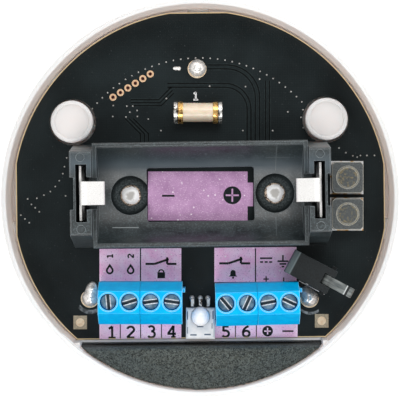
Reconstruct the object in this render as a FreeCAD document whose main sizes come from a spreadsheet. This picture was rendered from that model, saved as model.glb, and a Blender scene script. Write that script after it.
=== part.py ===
# Water leak sensor, opened: round base, circuit board, battery holder, terminals, tamper switch
# Millimetres, +Z up, origin on the floor under the middle of the base
import FreeCAD, Part
import math
import os
import re
import Sketcher

from FreeCAD import Vector

os.makedirs("parts", exist_ok=True)
doc = FreeCAD.newDocument("WaterLeakSensor")


# Driving dimensions
# Heights ending in _up are measured from the top of the board, positions from the middle of the base
SIZES = {
    # base shell
    "stand_off": 0.8, "base_outer": 36.0, "base_round": 3.0, "base_floor": 2.0, "base_wall": 1.0,
    "base_turn": 0.6, "floor_fillet": 0.4, "rim_up": 8.0, "rim_lip": 0.55, "rim_step": 0.7, "rim_edge": 0.2,
    "rest_wide": 4.0, "rest_deep": 2.2, "rest_count": 5, "rest_spread": 200.0,
    "post_x": 23.35, "post_y": 14.2, "post_radius": 3.85, "post_foot": 5.2, "post_up": 2.6,
    "post_rim": 0.7, "post_dish": 0.5,
    "bay_wall": 0.45, "bay_gap": 0.1, "bay_wall_down": 0.05, "corner_x": 22.0, "corner_long": 1.2,
    "corner_angle": 228.0, "corner_wide": 5.0, "corner_deep": 0.25, "corner_down": 0.7,
    # board
    "board_clear": 0.4, "board_thick": 1.6, "board_room": 2.8, "flat_left": 0.65,
    "flat_right": 0.5, "flat_back": 0.4, "bay_share": 0.7406, "post_gap": 0.45,
    "test_x": 16.05, "test_y": 18.55, "test_step": 1.62, "test_angle": 32.0, "test_count": 6,
    "test_bore": 0.23, "leg_hole": 0.75,
    # battery holder, in its own frame
    "holder_x": 0.1, "holder_y": 0.64, "holder_turn": 0.9, "cell_radius": 8.75, "cell_floor": 1.2,
    "cradle_half": 18.7, "cradle_wide": 19.0, "side_up": 8.5, "block_in": 19.4, "block_out": 23.25,
    "block_top": 14.9, "block_up": 13.0, "block_shift": 0.45, "slot_in": 20.2, "slot_out": 22.2,
    "slot_wide": 10.3, "slot_floor": 1.0, "gate_wide": 5.8, "gate_sill": 5.0, "back_notch": 0.7,
    "pin_mark": 0.75, "pin_mark_x": 21.3, "pin_mark_y": 6.4, "pin_mark_deep": 0.2,
    "window_long": 19.7, "window_wide": 9.9, "window_round": 0.5, "eye_radius": 3.6,
    "eye_left": 12.9, "eye_right": 13.7, "groove_gap": 0.2, "holder_edge": 0.25,
    # battery contacts
    "strip_thick": 0.4, "plate_x": 21.4, "plate_wide": 9.8, "plate_top": 11.6, "tongue_wide": 4.2,
    "tongue_reach": 3.9, "tongue_low": 9.6, "tongue_curl": 1.7, "tongue_bend": 0.8,
    "tail_wide": 2.0, "foot_gap": 0.4, "tail_solder": 1.95, "tail_solder_up": 1.5,
    # terminals
    "pole_pitch": 3.81, "left_block_x": 10.8, "left_block_y": 18.75, "right_block_x": 10.4,
    "right_block_y": 18.92, "right_block_turn": 1.4, "block_seam": 0.04, "term_up": 8.8,
    "term_back": 3.4, "term_back_up": 4.6, "term_ridge": 2.0, "term_shoulder": 2.1,
    "term_front": 4.25, "term_front_up": 5.0, "term_edge": 0.15, "key_out": 0.5, "key_wide": 0.7,
    "key_up": 7.2, "screw_hole": 1.5, "screw_gap": 0.1, "screw_low": 6.3, "screw_top": 7.9,
    "screw_slot": 0.55, "screw_slot_deep": 0.6, "shank_radius": 0.95, "shank_low": 3.35,
    "neck_gap": 0.15, "thread_gap": 0.05,
    "cage_wide": 2.9, "cage_deep": 3.4, "cage_low": 0.5, "cage_sill": 0.6, "cage_window": 2.2,
    "cage_lid": 0.8, "cage_side": 0.35, "cage_gap": 0.1, "cage_travel": 1.2, "cage_room": 0.3,
    "entry_wide": 2.4, "entry_low": 0.9, "entry_high": 2.6,
    "bar_thick": 0.5, "bar_wide": 1.5, "bar_front": 1.5, "leg_y": 2.2,
    "leg_thick": 0.5, "leg_wide": 0.9, "leg_below": 1.0,
    # tamper switch, in its own frame
    "switch_x": 16.5, "switch_y": 11.5, "switch_turn": 28.0, "switch_long": 8.5, "switch_wide": 4.5,
    "switch_up": 5.2, "switch_chamfer": 0.7, "fork_from": 6.5, "fork_gap": 0.15, "fork_floor": 1.6,
    "pivot_long": 7.5, "pivot_up": 3.4, "pivot_radius": 0.5, "pivot_gap": 0.05, "hub_radius": 0.85,
    "lever_wide": 1.8, "lever_thick": 0.7, "lever_long": 4.4, "lever_tip": 1.0, "lever_rise": 24.0,
    "foot_long": 0.9, "foot_out": 0.6, "foot_thick": 0.25,
    # status light
    "light_x": 0.08, "light_inset": 4.22, "light_wide": 5.3, "light_back": 1.5, "light_front": 4.1,
    "light_up": 3.4, "light_edge": 0.3, "lamp_radius": 1.68, "lamp_gap": 0.07, "lamp_low": 0.3,
    "lamp_shoulder": 3.9, "lamp_step": 1.45, "lead_wide": 0.55, "lead_thick": 0.3,
    "lead_out": 1.7, "lead_up": 1.1,
    # tilt sensor
    "tilt_x": 0.37, "tilt_y": 15.65, "tilt_long": 8.8, "tilt_cap": 1.65, "tilt_radius": 1.75,
    "tilt_cap_wall": 0.15, "tilt_gap": 0.02, "tilt_pad": 0.1,
    # inductors
    "coil_x": 27.05, "coil_back_y": 3.72, "coil_front_y": 2.98, "coil_side": 5.7, "coil_up": 2.9,
    "coil_frame": 6.1, "coil_frame_up": 0.35, "coil_corner": 0.5, "coil_ring": 2.05,
    "coil_ring_wide": 0.2, "coil_ring_deep": 0.1,
    # probes under the base
    "probe_back_x": 0.5, "probe_back_y": 23.9, "probe_front_x": 20.3, "probe_front_y": 18.5,
    "barrel_radius": 1.95, "barrel_wall": 0.4, "barrel_lid": 0.5, "barrel_lip": 0.5,
    "tail_radius": 0.5, "tail_gap": 0.1, "boss_wall": 1.0, "boss_up": 0.9, "probe_head": 1.7,
    "head_high": 1.1, "head_flat": 0.9, "stem_radius": 1.15, "collar_radius": 1.5,
    "collar_high": 0.35, "probe_fit": 0.05, "stop_gap": 0.1, "spring_wire": 0.2,
    "spring_radius": 1.1, "spring_turns": 3.0, "spring_gap": 0.1,
    "dome_radius": 1.65, "dome_up": 1.5, "dome_tip": 0.45,
    # bay pad and hidden parts
    "pad_up": 3.0, "pad_gap": 0.1,
    "radio_x": 3.0, "radio_y": 7.0, "radio_long": 20.0, "radio_wide": 13.0, "radio_thick": 0.8,
    "can_edge": 1.0, "can_high": 1.3, "sounder_radius": 7.0, "sounder_thick": 0.4,
    "sounder_y": 9.0,
}

sheet = doc.addObject("Spreadsheet::Sheet", "Sizes")
for row, (word, size) in enumerate(SIZES.items(), start=1):
    sheet.set("A%d" % row, word)
    sheet.set("B%d" % row, str(size))
    sheet.setAlias("B%d" % row, word)
doc.recompute()

# Levels worked out from the driving dimensions
LEVELS = {
    "floor_level": "(stand_off + base_floor)",
    "board_low": "(stand_off + base_floor + board_room)",
    "board_top": "(stand_off + base_floor + board_room + board_thick)",
    "base_inner": "(base_outer - base_wall)",
    "board_radius": "(base_outer - base_wall - board_clear)",
    "board_left": "(base_outer - base_wall - board_clear - flat_left)",
    "board_right": "(base_outer - base_wall - board_clear - flat_right)",
    "board_back": "(base_outer - base_wall - board_clear - flat_back)",
    "rim_level": "(stand_off + base_floor + board_room + board_thick + rim_up)",
    "board_front": "((base_outer - base_wall) * bay_share)",
    "bay_start": "((base_outer - base_wall) * bay_share + bay_gap)",
    "light_y": "((base_outer - base_wall) * bay_share - light_inset)",
    "neck_floor": "(cage_low + cage_sill + cage_window + cage_lid + cage_travel + cage_room)",
    "bar_low": "(cage_low + cage_sill + cage_travel + cage_room)",
    "mouth_level": "(stand_off + head_high + probe_fit)",
}


def spell(text, owner="Sizes."):
    """Write out the levels and point each size at its cell in the sheet."""
    for level, meaning in LEVELS.items():
        text = re.sub(r"\b%s\b" % level, meaning, text)
    return re.sub(r"\b[a-z]+(?:_[a-z]+)+\b", lambda word: owner + word.group(0), text)


def number(text):
    """The present value of a size or of a sum of sizes."""
    return float(sheet.evalExpression(spell(text, "")))


def bind(thing, **properties):
    """Tie properties of an object to sizes in the sheet."""
    for name, text in properties.items():
        thing.setExpression(name, spell(text))


def place(thing, x="0", y="0", z="0", turn="0"):
    """Set a piece down at a point, turned about the vertical."""
    spot = Vector(number(x), number(y), number(z))
    thing.Placement = FreeCAD.Placement(spot, FreeCAD.Rotation(Vector(0, 0, 1), number(turn)))


def new_body(name):
    body = doc.addObject("PartDesign::Body", name)
    body.Label = name
    return body


def new_sketch(body, plane, height="0"):
    """A sketch on one of the body's own planes, lifted along the plane's normal."""
    sketch = body.newObject("Sketcher::SketchObject", body.Name + "_sketch")
    base = [feature for feature in body.Origin.OriginFeatures if feature.Role == plane][0]
    sketch.AttachmentSupport = [(base, "")]
    sketch.MapMode = "FlatFace"
    sketch.setExpression(".AttachmentOffset.Base.z", spell(height))
    return sketch


def pin_point(sketch, edge, end, x, y):
    """Hold one end of a sketch line at a point given by sizes."""
    for kind, text in (("DistanceX", x), ("DistanceY", y)):
        index = sketch.addConstraint(Sketcher.Constraint(kind, edge, end, number(text)))
        sketch.setExpression("Constraints[%d]" % index, spell(text))


def outline(sketch, points, arcs=None):
    """Draw a closed outline. arcs maps an edge's number to its radius, anticlockwise about its middle."""
    arcs = arcs or {}
    first = sketch.GeometryCount
    count = len(points)
    spots = [Vector(number(x), number(y), 0) for x, y in points]
    for index, start in enumerate(spots):
        end = spots[(index + 1) % count]
        if index not in arcs:
            sketch.addGeometry(Part.LineSegment(start, end), False)
            continue
        radius = number(arcs[index])
        half = (end - start) * 0.5
        drop = math.sqrt(max(radius ** 2 - half.Length ** 2, 0.0))
        side = Vector(-half.y, half.x, 0).normalize()
        middle = start + half + side * drop
        sketch.addGeometry(Part.Arc(start, middle - side * radius, end), False)
    for index in range(count):
        edge = first + index
        sketch.addConstraint(Sketcher.Constraint("Coincident", edge, 2, first + (index + 1) % count, 1))
    for index, (x, y) in enumerate(points):
        pin_point(sketch, first + index, 1, x, y)
    for index, radius in arcs.items():
        held = sketch.addConstraint(Sketcher.Constraint("Radius", first + index, number(radius)))
        sketch.setExpression("Constraints[%d]" % held, spell(radius))


def rectangle(sketch, left, right, low, high):
    outline(sketch, [(left, low), (right, low), (right, high), (left, high)])


def circles(sketch, spots):
    """Draw circles, each given as x, y and radius."""
    for x, y, radius in spots:
        centre = Vector(number(x), number(y), 0)
        edge = sketch.addGeometry(Part.Circle(centre, Vector(0, 0, 1), number(radius)), False)
        pin_point(sketch, edge, 3, x, y)
        held = sketch.addConstraint(Sketcher.Constraint("Radius", edge, number(radius)))
        sketch.setExpression("Constraints[%d]" % held, spell(radius))


def pad(body, sketch, length, both_ways=False, flip=False):
    """Raise a sketch into a solid."""
    feature = body.newObject("PartDesign::Pad", body.Name + "_pad")
    feature.Profile = sketch
    feature.Reversed = flip
    feature.SideType = "Symmetric" if both_ways else "One side"
    bind(feature, Length=length)
    doc.recompute()
    return feature


def pocket(body, sketch, length, both_ways=False, flip=False):
    """Cut a sketch out of the body, and make sure that it took material away."""
    before = body.Shape.Volume
    feature = body.newObject("PartDesign::Pocket", body.Name + "_pocket")
    feature.Profile = sketch
    feature.Reversed = flip
    feature.SideType = "Symmetric" if both_ways else "One side"
    bind(feature, Length=length)
    doc.recompute()
    if body.Shape.Volume >= before:
        raise RuntimeError("%s: a pocket removed nothing" % body.Label)
    return feature


def edges_where(shape, test):
    """Names of the edges whose middle passes a test."""
    names = []
    for index, edge in enumerate(shape.Edges, start=1):
        middle = edge.valueAt((edge.FirstParameter + edge.LastParameter) / 2)
        if test(middle, edge):
            names.append("Edge%d" % index)
    return names


def soften(body, kind, size, test):
    """Round or chamfer the edges that pass a test."""
    tip = body.Tip
    feature = body.newObject("PartDesign::" + kind, body.Name + "_" + kind.lower())
    feature.Base = (tip, edges_where(tip.Shape, test))
    bind(feature, **{"Radius" if kind == "Fillet" else "Size": size})
    doc.recompute()
    return feature


def mirror(body, features, plane):
    """Repeat features on the other side of one of the body's planes."""
    feature = body.newObject("PartDesign::Mirrored", body.Name + "_mirror")
    base = [item for item in body.Origin.OriginFeatures if item.Role == plane][0]
    feature.Originals = features
    feature.MirrorPlane = (base, [""])
    body.Tip = feature
    doc.recompute()
    return feature


def solid(name, shape, x="0", y="0", z="0", turn="0"):
    """A piece whose folded or coiled form is built directly from the sizes."""
    feature = doc.addObject("Part::Feature", name)
    feature.Label = name
    feature.Shape = shape
    place(feature, x, y, z, turn)
    return feature


def box(left, right, front, back, low, high):
    """A block between six limits, each a size or a sum of sizes."""
    corner = Vector(number(left), number(front), number(low))
    far = Vector(number(right), number(back), number(high))
    return Part.makeBox(far.x - corner.x, far.y - corner.y, far.z - corner.z, corner)


def rod(radius, low, high, x="0", y="0"):
    """An upright cylinder between two heights."""
    foot = Vector(number(x), number(y), number(low))
    return Part.makeCylinder(number(radius), number(high) - number(low), foot)


PROBES = {
    "back": ("-probe_back_x", "probe_back_y"),
    "left": ("-probe_front_x", "-probe_front_y"),
    "right": ("probe_front_x", "-probe_front_y"),
}

# The middle of each terminal block, its turn, and the housings with their offset in pitches
BLOCKS = [
    ("-left_block_x", "-left_block_y", "0", {"one_two": -1, "three_four": 1}),
    ("right_block_x", "-right_block_y", "right_block_turn", {"five_six": -1, "plus_minus": 1}),
]


def turned(x, y, turn, along, across):
    """The place of a point given along and across a turned row."""
    spot_x = "(%s + (%s) * cos(%s) - (%s) * sin(%s))" % (x, along, turn, across, turn)
    spot_y = "(%s + (%s) * sin(%s) + (%s) * cos(%s))" % (y, along, turn, across, turn)
    return spot_x, spot_y


def poles():
    """Each terminal pole: its name, place, turn, and its housing's name."""
    for x, y, turn, housings in BLOCKS:
        for housing, offset in housings.items():
            for pole, side in zip(housing.split("_"), (-1, 1)):
                along = "%g * pole_pitch" % (offset + 0.5 * side)
                yield pole, along, x, y, turn, housing


# Base shell: a moulded cup with a stepped rim, posts, board rests and the bay wall
def make_base_shell():
    body = new_body("base_shell")
    sketch = new_sketch(body, "XZ_Plane")
    outline(sketch, [
        ("0", "stand_off"),
        ("base_outer - base_round", "stand_off"),
        ("base_outer", "stand_off + base_round"),
        ("base_outer", "rim_level - rim_step"),
        ("base_inner + rim_lip", "rim_level - rim_step"),
        ("base_inner + rim_lip", "rim_level"),
        ("base_inner", "rim_level"),
        ("base_inner", "floor_level + floor_fillet"),
        ("base_inner - floor_fillet", "floor_level"),
        ("0", "floor_level"),
    ], {1: "base_round"})
    cup = body.newObject("PartDesign::Revolution", "base_cup")
    cup.Profile = sketch
    cup.ReferenceAxis = (sketch, ["V_Axis"])
    cup.Angle = 360
    doc.recompute()

    def rim_edge(middle, edge):
        high = middle.z > number("rim_level - rim_step") - 0.01
        return high and math.hypot(middle.x, middle.y) > number("base_inner") - 0.01

    soften(body, "Fillet", "rim_edge", rim_edge)

    root = "floor_level - base_floor / 4"
    rests = new_sketch(body, "XY_Plane", root)
    start = "(90 - rest_spread / 2 + %d * rest_spread / (rest_count - 1))"
    reach = "(base_inner + base_wall / 2)"
    for index in range(int(number("rest_count"))):
        angle = start % index
        corners = []
        for radius, side in (("reach", 1), ("root", 1), ("root", -1), ("reach", -1)):
            out = reach if radius == "reach" else "(base_inner - rest_deep)"
            half = "(%d * rest_wide / 2)" % side
            corners.append(turned("0", "0", angle, out, half))
        outline(rests, corners)
    pad(body, rests, "board_room + base_floor / 4")

    feet = new_sketch(body, "XY_Plane", root)
    circles(feet, [("post_x", "post_y", "post_foot"), ("-post_x", "post_y", "post_foot")])
    pad(body, feet, "board_room + base_floor / 4")
    posts = new_sketch(body, "XY_Plane", "floor_level")
    circles(posts, [("post_x", "post_y", "post_radius"), ("-post_x", "post_y", "post_radius")])
    pad(body, posts, "board_room + board_thick + post_up")

    wall = new_sketch(body, "XY_Plane", root)
    reach = "sqrt((base_inner + base_wall / 2) ^ 2 - (bay_start + bay_wall) ^ 2)"
    rectangle(wall, "-" + reach, reach, "-(bay_start + bay_wall)", "-bay_start")
    pad(body, wall, "base_floor / 4 + board_room + board_thick - bay_wall_down")

    corners = new_sketch(body, "XY_Plane", root)
    for angle in ("corner_angle", "(540 - corner_angle)"):
        inner = "(base_inner - corner_deep)"
        outer = "(base_inner + base_wall / 2)"
        points = []
        for out, side in ((outer, 1), (inner, 1), (inner, -1), (outer, -1)):
            points.append(turned("0", "0", angle, out, "(%d * corner_wide / 2)" % side))
        outline(corners, points)
    pad(body, corners, "rim_level - corner_down - floor_level + base_floor / 4")

    blocks = new_sketch(body, "XY_Plane", root)
    near, far = "bay_start", "(bay_start + corner_long)"
    reach_near = "sqrt((base_inner + base_wall / 2) ^ 2 - %s ^ 2)" % near
    reach_far = "sqrt((base_inner + base_wall / 2) ^ 2 - %s ^ 2)" % far
    outline(blocks, [
        ("corner_x", "-" + far),
        (reach_far, "-" + far),
        (reach_near, "-" + near),
        ("corner_x", "-" + near),
    ])
    outline(blocks, [
        ("-corner_x", "-" + near),
        ("-" + reach_near, "-" + near),
        ("-" + reach_far, "-" + far),
        ("-corner_x", "-" + far),
    ])
    pad(body, blocks, "rim_level - 2 * corner_down - floor_level + base_floor / 4")

    bosses = new_sketch(body, "XY_Plane", root)
    circles(bosses, [(x, y, "barrel_radius + boss_wall") for x, y in turned_probes()])
    pad(body, bosses, "base_floor / 4 + boss_up")
    bores = new_sketch(body, "XY_Plane", "stand_off")
    circles(bores, [(x, y, "barrel_radius + probe_fit") for x, y in turned_probes()])
    pocket(body, bores, "base_floor + boss_up", flip=True)

    dishes = new_sketch(body, "XY_Plane", "board_top + post_up")
    dish = "post_radius - post_rim"
    circles(dishes, [("post_x", "post_y", dish), ("-post_x", "post_y", dish)])
    pocket(body, dishes, "post_dish")

    def post_rim(middle, edge):
        return abs(middle.z - number("board_top + post_up")) < 0.01

    soften(body, "Fillet", "rim_edge", post_rim)
    place(body, turn="base_turn")
    return body


def turned_probes():
    """The probes' places as the base sees them, since the base lies turned under the board."""
    spots = []
    for x, y in PROBES.values():
        spots.append(turned("0", "0", "(-base_turn)", x, y))
    return spots


# Main board: a disc with four flats, post holes, a row of test holes and the leg holes
def make_main_board():
    body = new_body("main_board")

    def half_chord(distance):
        return "sqrt(board_radius ^ 2 - %s ^ 2)" % distance

    sketch = new_sketch(body, "XY_Plane", "board_low")
    corners = [
        (half_chord("board_front"), "-board_front"),
        ("board_right", "-" + half_chord("board_right")),
        ("board_right", half_chord("board_right")),
        (half_chord("board_back"), "board_back"),
        ("-" + half_chord("board_back"), "board_back"),
        ("-board_left", half_chord("board_left")),
        ("-board_left", "-" + half_chord("board_left")),
        ("-" + half_chord("board_front"), "-board_front"),
    ]
    outline(sketch, [turned("0", "0", "base_turn", x, y) for x, y in corners],
            {0: "board_radius", 2: "board_radius", 4: "board_radius", 6: "board_radius"})
    pad(body, sketch, "board_thick")

    holes = new_sketch(body, "XY_Plane", "board_top")
    spots = []
    for side in ("post_x", "-post_x"):
        x, y = turned("0", "0", "base_turn", side, "post_y")
        spots.append((x, y, "post_radius + post_gap"))
    for x, y in PROBES.values():
        spots.append((x, y, "tail_radius + tail_gap"))
    for pole, along, x, y, turn, housing in poles():
        leg_x, leg_y = turned(x, y, turn, along, "leg_y")
        spots.append((leg_x, leg_y, "leg_hole"))
    for index in range(int(number("test_count"))):
        reach = "%d * test_step" % index
        x = "-(test_x - %s * cos(test_angle))" % reach
        y = "(test_y + %s * sin(test_angle))" % reach
        spots.append((x, y, "test_bore"))
    circles(holes, spots)
    pocket(body, holes, "board_thick")
    return body


# The contacts' feet stop short of the round holes in the cradle floor
FOOT_START = "(eye_right + eye_radius + foot_gap)"


# Battery holder: a cradle between two end blocks, moulded in one piece
def make_battery_holder():
    body = new_body("battery_holder")
    middle = new_sketch(body, "YZ_Plane")
    rectangle(middle, "-cradle_wide / 2", "cradle_wide / 2", "0", "side_up")
    pad(body, middle, "2 * block_in", both_ways=True)
    cradle = new_sketch(body, "YZ_Plane")
    circles(cradle, [("0", "cell_floor + cell_radius", "cell_radius")])
    pocket(body, cradle, "2 * cradle_half", both_ways=True)

    def side_top(spot, edge):
        straight = abs(spot.z - number("side_up")) < 0.01 and abs(spot.x) < number("cradle_half") - 1
        return straight and edge.Length > number("cradle_half")

    soften(body, "Chamfer", "holder_edge", side_top)

    block = new_sketch(body, "YZ_Plane", "block_in")
    outline(block, [
        ("-cradle_wide / 2", "0"),
        ("cradle_wide / 2", "0"),
        ("block_shift + block_top / 2", "block_up"),
        ("block_shift - block_top / 2", "block_up"),
    ])
    right = pad(body, block, "block_out - block_in")
    mirror(body, [right], "YZ_Plane")

    slot = new_sketch(body, "XY_Plane", "block_up")
    rectangle(slot, "slot_in", "slot_out", "block_shift - slot_wide / 2", "block_shift + slot_wide / 2")
    slot_cut = pocket(body, slot, "block_up - slot_floor")
    gate = new_sketch(body, "XY_Plane", "block_up")
    rectangle(gate, "cradle_half - 1", "slot_in", "block_shift - gate_wide / 2",
              "block_shift + gate_wide / 2")
    gate_cut = pocket(body, gate, "block_up - gate_sill")
    notch = new_sketch(body, "XY_Plane", "block_up")
    rectangle(notch, "block_out - back_notch", "block_out + 1", "block_shift - gate_wide / 2",
              "block_shift + gate_wide / 2")
    notch_cut = pocket(body, notch, "block_up")
    neck = new_sketch(body, "XY_Plane", "slot_floor")
    half_groove = "(tail_wide / 2 + groove_gap)"
    rectangle(neck, "slot_in", "slot_out", "-" + half_groove, half_groove)
    neck_cut = pocket(body, neck, "slot_floor")
    groove = new_sketch(body, "XY_Plane", "strip_thick + groove_gap / 2")
    rectangle(groove, FOOT_START + " - groove_gap", "slot_out", "-" + half_groove, half_groove)
    groove_cut = pocket(body, groove, "strip_thick + groove_gap / 2")
    marks = new_sketch(body, "XY_Plane", "block_up")
    circles(marks, [("pin_mark_x", "block_shift + pin_mark_y", "pin_mark"),
                    ("pin_mark_x", "block_shift - pin_mark_y", "pin_mark")])
    marks_cut = pocket(body, marks, "pin_mark_deep")
    mirror(body, [slot_cut, gate_cut, notch_cut, neck_cut, groove_cut, marks_cut], "YZ_Plane")

    window = new_sketch(body, "XY_Plane", "side_up")
    rectangle(window, "-window_long / 2", "window_long / 2", "-window_wide / 2", "window_wide / 2")
    pocket(body, window, "side_up")

    def window_corner(spot, edge):
        upright = abs(edge.tangentAt(edge.FirstParameter).z) > 0.99
        at_end = abs(abs(spot.x) - number("window_long / 2")) < 0.01
        return upright and at_end and abs(abs(spot.y) - number("window_wide / 2")) < 0.01

    soften(body, "Fillet", "window_round", window_corner)
    eyes = new_sketch(body, "XY_Plane", "side_up")
    circles(eyes, [("-eye_left", "0", "eye_radius"), ("eye_right", "0", "eye_radius")])
    pocket(body, eyes, "side_up")

    def block_rim(spot, edge):
        outer = abs(abs(spot.y - number("block_shift")) - number("block_top / 2")) < 0.01
        end = abs(abs(spot.x) - number("block_out")) < 0.01
        return abs(spot.z - number("block_up")) < 0.01 and (outer or end)

    soften(body, "Chamfer", "holder_edge", block_rim)
    place(body, "holder_x", "holder_y", "board_top", "holder_turn")
    return body


# Battery contacts: a plate in the block's slot, a folded tongue, and a foot under the cradle floor
def make_contact(name, side):
    half_plate = "(plate_wide / 2)"
    back = "(plate_x - strip_thick / 2)"
    front = "(plate_x + strip_thick / 2)"
    plate = box(back, front, "block_shift - " + half_plate, "block_shift + " + half_plate,
                "slot_floor + probe_fit", "plate_top")
    neck = box(back, front, "-tail_wide / 2", "tail_wide / 2", "0", "slot_floor + 1")
    foot = box(FOOT_START, front, "-tail_wide / 2", "tail_wide / 2", "0", "strip_thick")

    turn = number("tongue_bend")
    rise = Vector(number("plate_x"), 0, number("plate_top - strip_thick"))
    top = Vector(number("plate_x"), 0, number("plate_top"))
    over = Vector(top.x - turn, 0, top.z + turn)
    tip = Vector(top.x - number("tongue_reach"), 0, number("tongue_low"))
    fall = (tip - over).normalize()
    curl = Vector(tip.x + number("tongue_curl") / 2, 0, tip.z - number("tongue_curl"))
    bulge = (tip + curl) * 0.5 + Vector(-number("tongue_curl") * 0.3, 0, 0)
    bend = Part.Arc(top, Vector(top.x - turn * 0.3, 0, top.z + turn * 0.75), over + fall * (turn * 0.3))
    path = Part.Wire([
        Part.LineSegment(rise, top).toShape(),
        bend.toShape(),
        Part.LineSegment(over + fall * (turn * 0.3), tip).toShape(),
        Part.Arc(tip, bulge, curl).toShape(),
    ])
    thick = number("strip_thick") / 2
    wide = number("tongue_wide") / 2
    corners = [(-thick, -wide), (thick, -wide), (thick, wide), (-thick, wide), (-thick, -wide)]
    middle = rise + Vector(0, number("block_shift"), 0)
    section = Part.makePolygon([middle + Vector(x, y, 0) for x, y in corners])
    tongue = path.makePipeShell([section], True, False, 1)
    shape = plate.fuse([neck, foot, tongue]).removeSplitter()
    if side < 0:
        shape = shape.mirror(Vector(0, 0, 0), Vector(1, 0, 0))
    return solid(name, shape, "holder_x", "holder_y", "board_top", "holder_turn")


def dome(radius, up, tip="0"):
    """A solder joint: a low ball segment, with a short peak where the iron left it."""
    base, height = number(radius), number(up)
    ball = (base ** 2 + height ** 2) / (2 * height)
    centre = Vector(0, 0, height - ball)
    segment = Part.makeSphere(ball, centre).common(Part.makeBox(4 * base, 4 * base, height,
                                                                Vector(-2 * base, -2 * base, 0)))
    if number(tip) <= 0:
        return segment
    peak = Part.makeCone(number(tip) * 1.3, number(tip) * 0.3, number(tip) * 1.6,
                         Vector(0, 0, height - number(tip) * 0.6))
    return segment.fuse(peak).removeSplitter()


def make_contact_solder(name, side, eye):
    across = "-(%s)" % eye if side < 0 else eye
    x, y = turned("holder_x", "holder_y", "holder_turn", across, "0")
    return solid(name, dome("tail_solder", "tail_solder_up"), x, y, "board_top")


# Terminal housings: a ridge-shaped moulding for two poles, with a cage well under each screw hole
def make_terminal_housing(name, x, y, turn, offset):
    body = new_body("terminal_housing_" + name)
    sketch = new_sketch(body, "YZ_Plane")
    outline(sketch, [
        ("-term_front", "0"),
        ("term_back", "0"),
        ("term_back", "term_back_up"),
        ("term_ridge", "term_up"),
        ("-term_shoulder", "term_up"),
        ("-term_front", "term_front_up"),
    ])
    pad(body, sketch, "2 * pole_pitch - block_seam", both_ways=True)

    def ridge(spot, edge):
        along = abs(edge.tangentAt(edge.FirstParameter).x) > 0.99
        return along and spot.z > number("term_back_up") - 0.01

    soften(body, "Fillet", "term_edge", ridge)
    centres = ("-pole_pitch / 2", "pole_pitch / 2")
    holes = new_sketch(body, "XY_Plane", "term_up")
    circles(holes, [(centre, "0", "screw_hole") for centre in centres])
    pocket(body, holes, "term_up - screw_low + screw_gap")
    necks = new_sketch(body, "XY_Plane", "screw_low")
    circles(necks, [(centre, "0", "shank_radius + neck_gap") for centre in centres])
    pocket(body, necks, "screw_low - neck_floor")
    wells = new_sketch(body, "XY_Plane", "neck_floor")
    entries = new_sketch(body, "XZ_Plane", "term_front + 1")
    for centre in centres:
        half = "(cage_wide / 2 + cage_gap)"
        rear = "leg_y + leg_thick / 2"
        rectangle(wells, "%s - %s" % (centre, half), "%s + %s" % (centre, half),
                  "-(cage_deep / 2 + cage_gap)", rear)
        rectangle(entries, "%s - entry_wide / 2" % centre, "%s + entry_wide / 2" % centre,
                  "entry_low", "entry_low + entry_high")
    pocket(body, wells, "neck_floor")
    pocket(body, entries, "term_front + 1")
    if offset > 0:
        key = new_sketch(body, "YZ_Plane", "pole_pitch - block_seam / 2")
        rectangle(key, "term_ridge - key_wide / 2", "term_ridge + key_wide / 2", "0", "key_up")
        pad(body, key, "key_out")
    spot_x, spot_y = turned(x, y, turn, "%d * pole_pitch" % offset, "0")
    place(body, spot_x, spot_y, "board_top", turn)
    return body


# Terminal screws: a slotted cheese head on a shank that carries the cage
def make_terminal_screw(pole, x, y, turn, slot_angle):
    body = new_body("terminal_screw_" + pole)
    sketch = new_sketch(body, "XZ_Plane")
    outline(sketch, [
        ("0", "shank_low"),
        ("shank_radius", "shank_low"),
        ("shank_radius", "screw_low"),
        ("screw_hole - screw_gap", "screw_low"),
        ("screw_hole - screw_gap", "screw_top - screw_gap"),
        ("screw_hole - 2 * screw_gap", "screw_top"),
        ("0", "screw_top"),
    ])
    turning = body.newObject("PartDesign::Revolution", "screw_turning_" + pole)
    turning.Profile = sketch
    turning.ReferenceAxis = (sketch, ["V_Axis"])
    turning.Angle = 360
    doc.recompute()
    slot = new_sketch(body, "XY_Plane", "screw_top")
    rectangle(slot, "-screw_hole", "screw_hole", "-screw_slot / 2", "screw_slot / 2")
    pocket(body, slot, "screw_slot_deep")
    place(body, x, y, "board_top", "%s + %g" % (turn, slot_angle))
    return body


# Clamp cages: a square metal stirrup that the screw lifts against the contact bar
def make_clamp_cage(pole, x, y, turn):
    top = "(cage_low + cage_sill + cage_window + cage_lid)"
    shell = box("-cage_wide / 2", "cage_wide / 2", "-cage_deep / 2", "cage_deep / 2", "cage_low", top)
    half = "(cage_wide / 2 - cage_side)"
    window = box("-" + half, half, "-cage_deep", "cage_deep", "cage_low + cage_sill",
                 "cage_low + cage_sill + cage_window")
    bore = rod("shank_radius + thread_gap", "cage_low + cage_sill", "term_up")
    return solid("clamp_cage_" + pole, shell.cut([window, bore]), x, y, "board_top", turn)


# Contact bars: one bent bar for each pole, with a leg through the board, two to a housing
def make_contact_bars(housing, x, y, turn, offset):
    bars = []
    for side in (-1, 1):
        middle = "%g * pole_pitch" % (0.5 * side)
        bar = box("%s - bar_wide / 2" % middle, "%s + bar_wide / 2" % middle, "-bar_front",
                  "leg_y + leg_thick / 2", "bar_low", "bar_low + bar_thick")
        leg = box("%s - leg_wide / 2" % middle, "%s + leg_wide / 2" % middle, "leg_y - leg_thick / 2",
                  "leg_y + leg_thick / 2", "-(board_thick + leg_below)", "bar_low + bar_thick")
        bars.append(bar.fuse(leg).removeSplitter())
    spot_x, spot_y = turned(x, y, turn, "%d * pole_pitch" % offset, "0")
    return solid("contact_bars_" + housing, Part.makeCompound(bars), spot_x, spot_y, "board_top", turn)


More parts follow.
